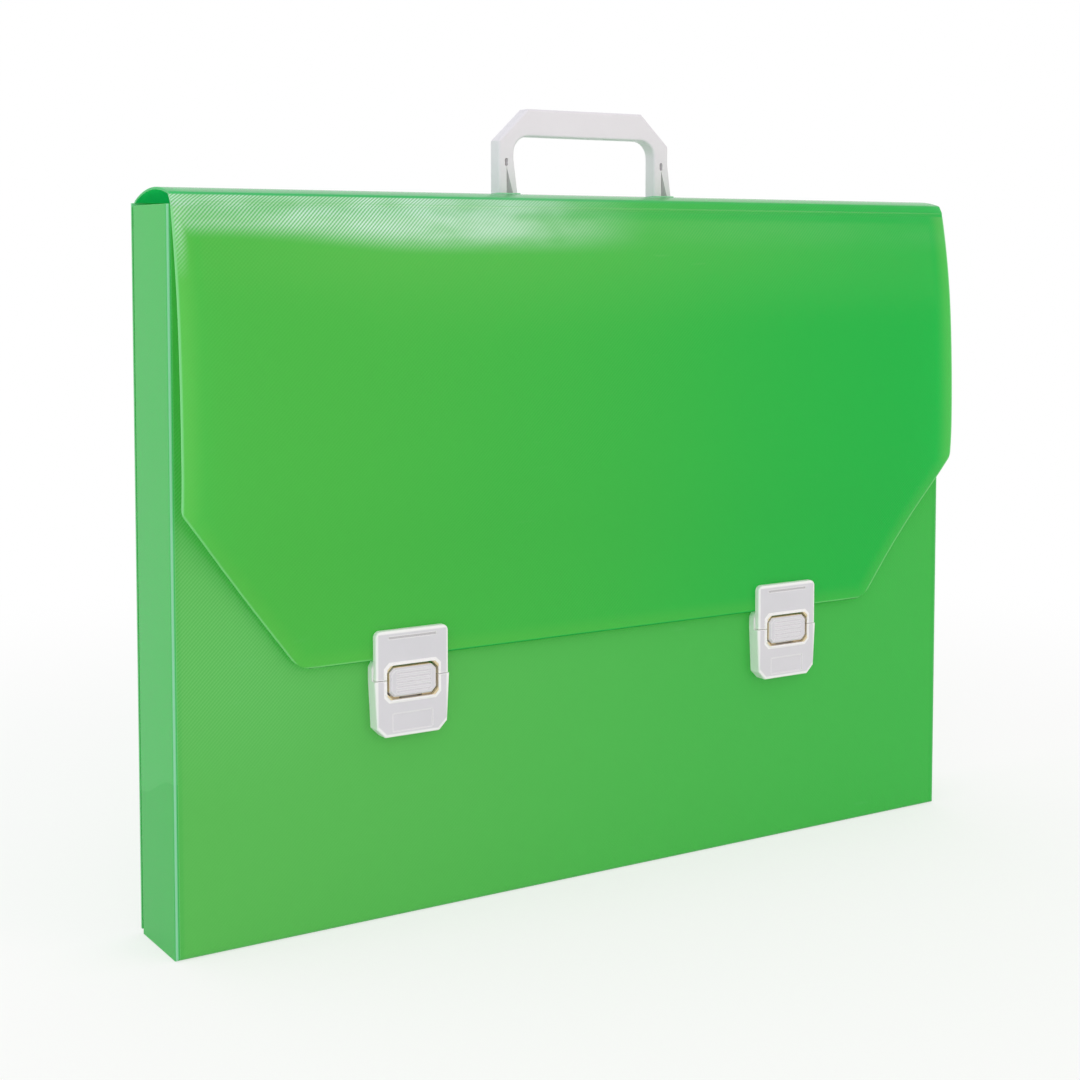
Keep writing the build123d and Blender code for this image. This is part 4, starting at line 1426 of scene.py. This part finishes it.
# %% Rows of rivets
def rivet_group():
    """Repeats a rivet on a grid: two columns a span apart, and rows up each flange."""
    group, start, end = new_group("GeometryNodeTree", "rivet_rows", [
        ("Geometry", "NodeSocketGeometry", None),
        ("Span", "NodeSocketFloat", 0.359),
        ("Pitch", "NodeSocketFloat", 0.16),
        ("Lowest", "NodeSocketFloat", 0.06),
        ("Rows", "NodeSocketInt", 2),
        ("Finish", "NodeSocketMaterial", None),
    ], [("Geometry", "NodeSocketGeometry")])
    rows = math(group, "MULTIPLY", start["Pitch"], math(group, "SUBTRACT", start["Rows"], 1.0))
    sheet = group.nodes.new("GeometryNodeMeshGrid")
    group.links.new(start["Span"], sheet.inputs["Size X"])
    group.links.new(rows, sheet.inputs["Size Y"])
    sheet.inputs["Vertices X"].default_value = 2
    group.links.new(start["Rows"], sheet.inputs["Vertices Y"])
    upright = group.nodes.new("GeometryNodeTransform")
    group.links.new(sheet.outputs["Mesh"], upright.inputs["Geometry"])
    upright.inputs["Rotation"].default_value = (pi / 2, 0.0, 0.0)
    lift = group.nodes.new("ShaderNodeCombineXYZ")
    group.links.new(math(group, "ADD", start["Lowest"], math(group, "MULTIPLY", rows, 0.5)), lift.inputs["Z"])
    group.links.new(lift.outputs[0], upright.inputs["Translation"])
    each = group.nodes.new("GeometryNodeInstanceOnPoints")
    group.links.new(upright.outputs[0], each.inputs["Points"])
    group.links.new(start["Geometry"], each.inputs["Instance"])
    end_tree(group, each.outputs[0], start["Finish"], end)
    return group


rivet_values = {"Span": 0.359, "Pitch": 0.16, "Lowest": 0.06, "Rows": 2, "Finish": hidden_plastic}
rivets = grown("gusset_snap_rivets", rivet_mesh, rivet_group(), rivet_values)
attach(rivets, "case")
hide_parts("gusset_rivets")
print(measured(rivets))

# %% [markdown]
# ## Lock springs
#
# Under each catch stands a small coil of spring wire. A wound wire follows a rule, so a geometry
# tree makes it: a spiral curve with named sizes, swept by a round section. It fills the height of
# the CAD spring it replaces.

# %% Spring wire
def wire_material():
    """Drawn spring steel with fine lines along the wire and slightly uneven gloss."""
    material, tree, shader, place = new_material("spring_wire")
    tone = noise(tree, stretched(tree, place, (1.0, 1.0, 6.0)), 900.0, 3.0)
    steel = blend_colours(tree, tone, srgb(150, 152, 156), srgb(206, 207, 210))
    tree.links.new(steel, shader.inputs["Base Color"])
    shader.inputs["Metallic"].default_value = 1.0
    tree.links.new(ramp(tree, tone, 0.2, 0.8, 0.22, 0.38), shader.inputs["Roughness"])
    bump(tree, shader, tone, 0.1, 0.00002)
    return material


spring_wire = wire_material()
print("material", spring_wire.name)

# %% Wound wire
def coil_group():
    """Round wire wound on a spiral that stands at a place."""
    group, start, end = new_group("GeometryNodeTree", "wound_wire", [
        ("Geometry", "NodeSocketGeometry", None),
        ("Place", "NodeSocketVector", None),
        ("Coil Radius", "NodeSocketFloat", 0.00155),
        ("Wire Radius", "NodeSocketFloat", 0.00025),
        ("Height", "NodeSocketFloat", 0.0075),
        ("Turns", "NodeSocketFloat", 4.0),
        ("Finish", "NodeSocketMaterial", None),
    ], [("Geometry", "NodeSocketGeometry")])
    spiral = group.nodes.new("GeometryNodeCurveSpiral")
    spiral.inputs["Resolution"].default_value = 28
    group.links.new(start["Turns"], spiral.inputs["Rotations"])
    group.links.new(start["Coil Radius"], spiral.inputs["Start Radius"])
    group.links.new(start["Coil Radius"], spiral.inputs["End Radius"])
    group.links.new(start["Height"], spiral.inputs["Height"])
    ring = group.nodes.new("GeometryNodeCurvePrimitiveCircle")
    ring.inputs["Resolution"].default_value = 12
    group.links.new(start["Wire Radius"], ring.inputs["Radius"])
    sweep = group.nodes.new("GeometryNodeCurveToMesh")
    group.links.new(spiral.outputs[0], sweep.inputs["Curve"])
    group.links.new(ring.outputs[0], sweep.inputs["Profile Curve"])
    sweep.inputs["Fill Caps"].default_value = True
    stand = group.nodes.new("GeometryNodeTransform")
    group.links.new(sweep.outputs[0], stand.inputs["Geometry"])
    group.links.new(start["Place"], stand.inputs["Translation"])
    end_tree(group, stand.outputs[0], start["Finish"], end)
    return group


wound_wire = coil_group()
wire_radius = 0.00025
for side in ("left", "right"):
    low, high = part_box(f"{side}_lock_spring")
    middle = (low + high) / 2
    foot = Vector((middle.x, middle.y, low.z + wire_radius))
    coil_values = {
        "Place": foot, "Height": high.z - low.z - 2 * wire_radius, "Wire Radius": wire_radius,
        "Finish": spring_wire,
    }
    spring = grown(f"{side}_wound_spring", bpy.data.meshes.new("empty"), wound_wire, coil_values)
    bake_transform(spring)
    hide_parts(f"{side}_lock_spring")
    print(measured(spring))

# %% Sizes and finish
low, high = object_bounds()
print("visual box in mm:", [round(1000 * (b - a), 1) for a, b in zip(low, high)])
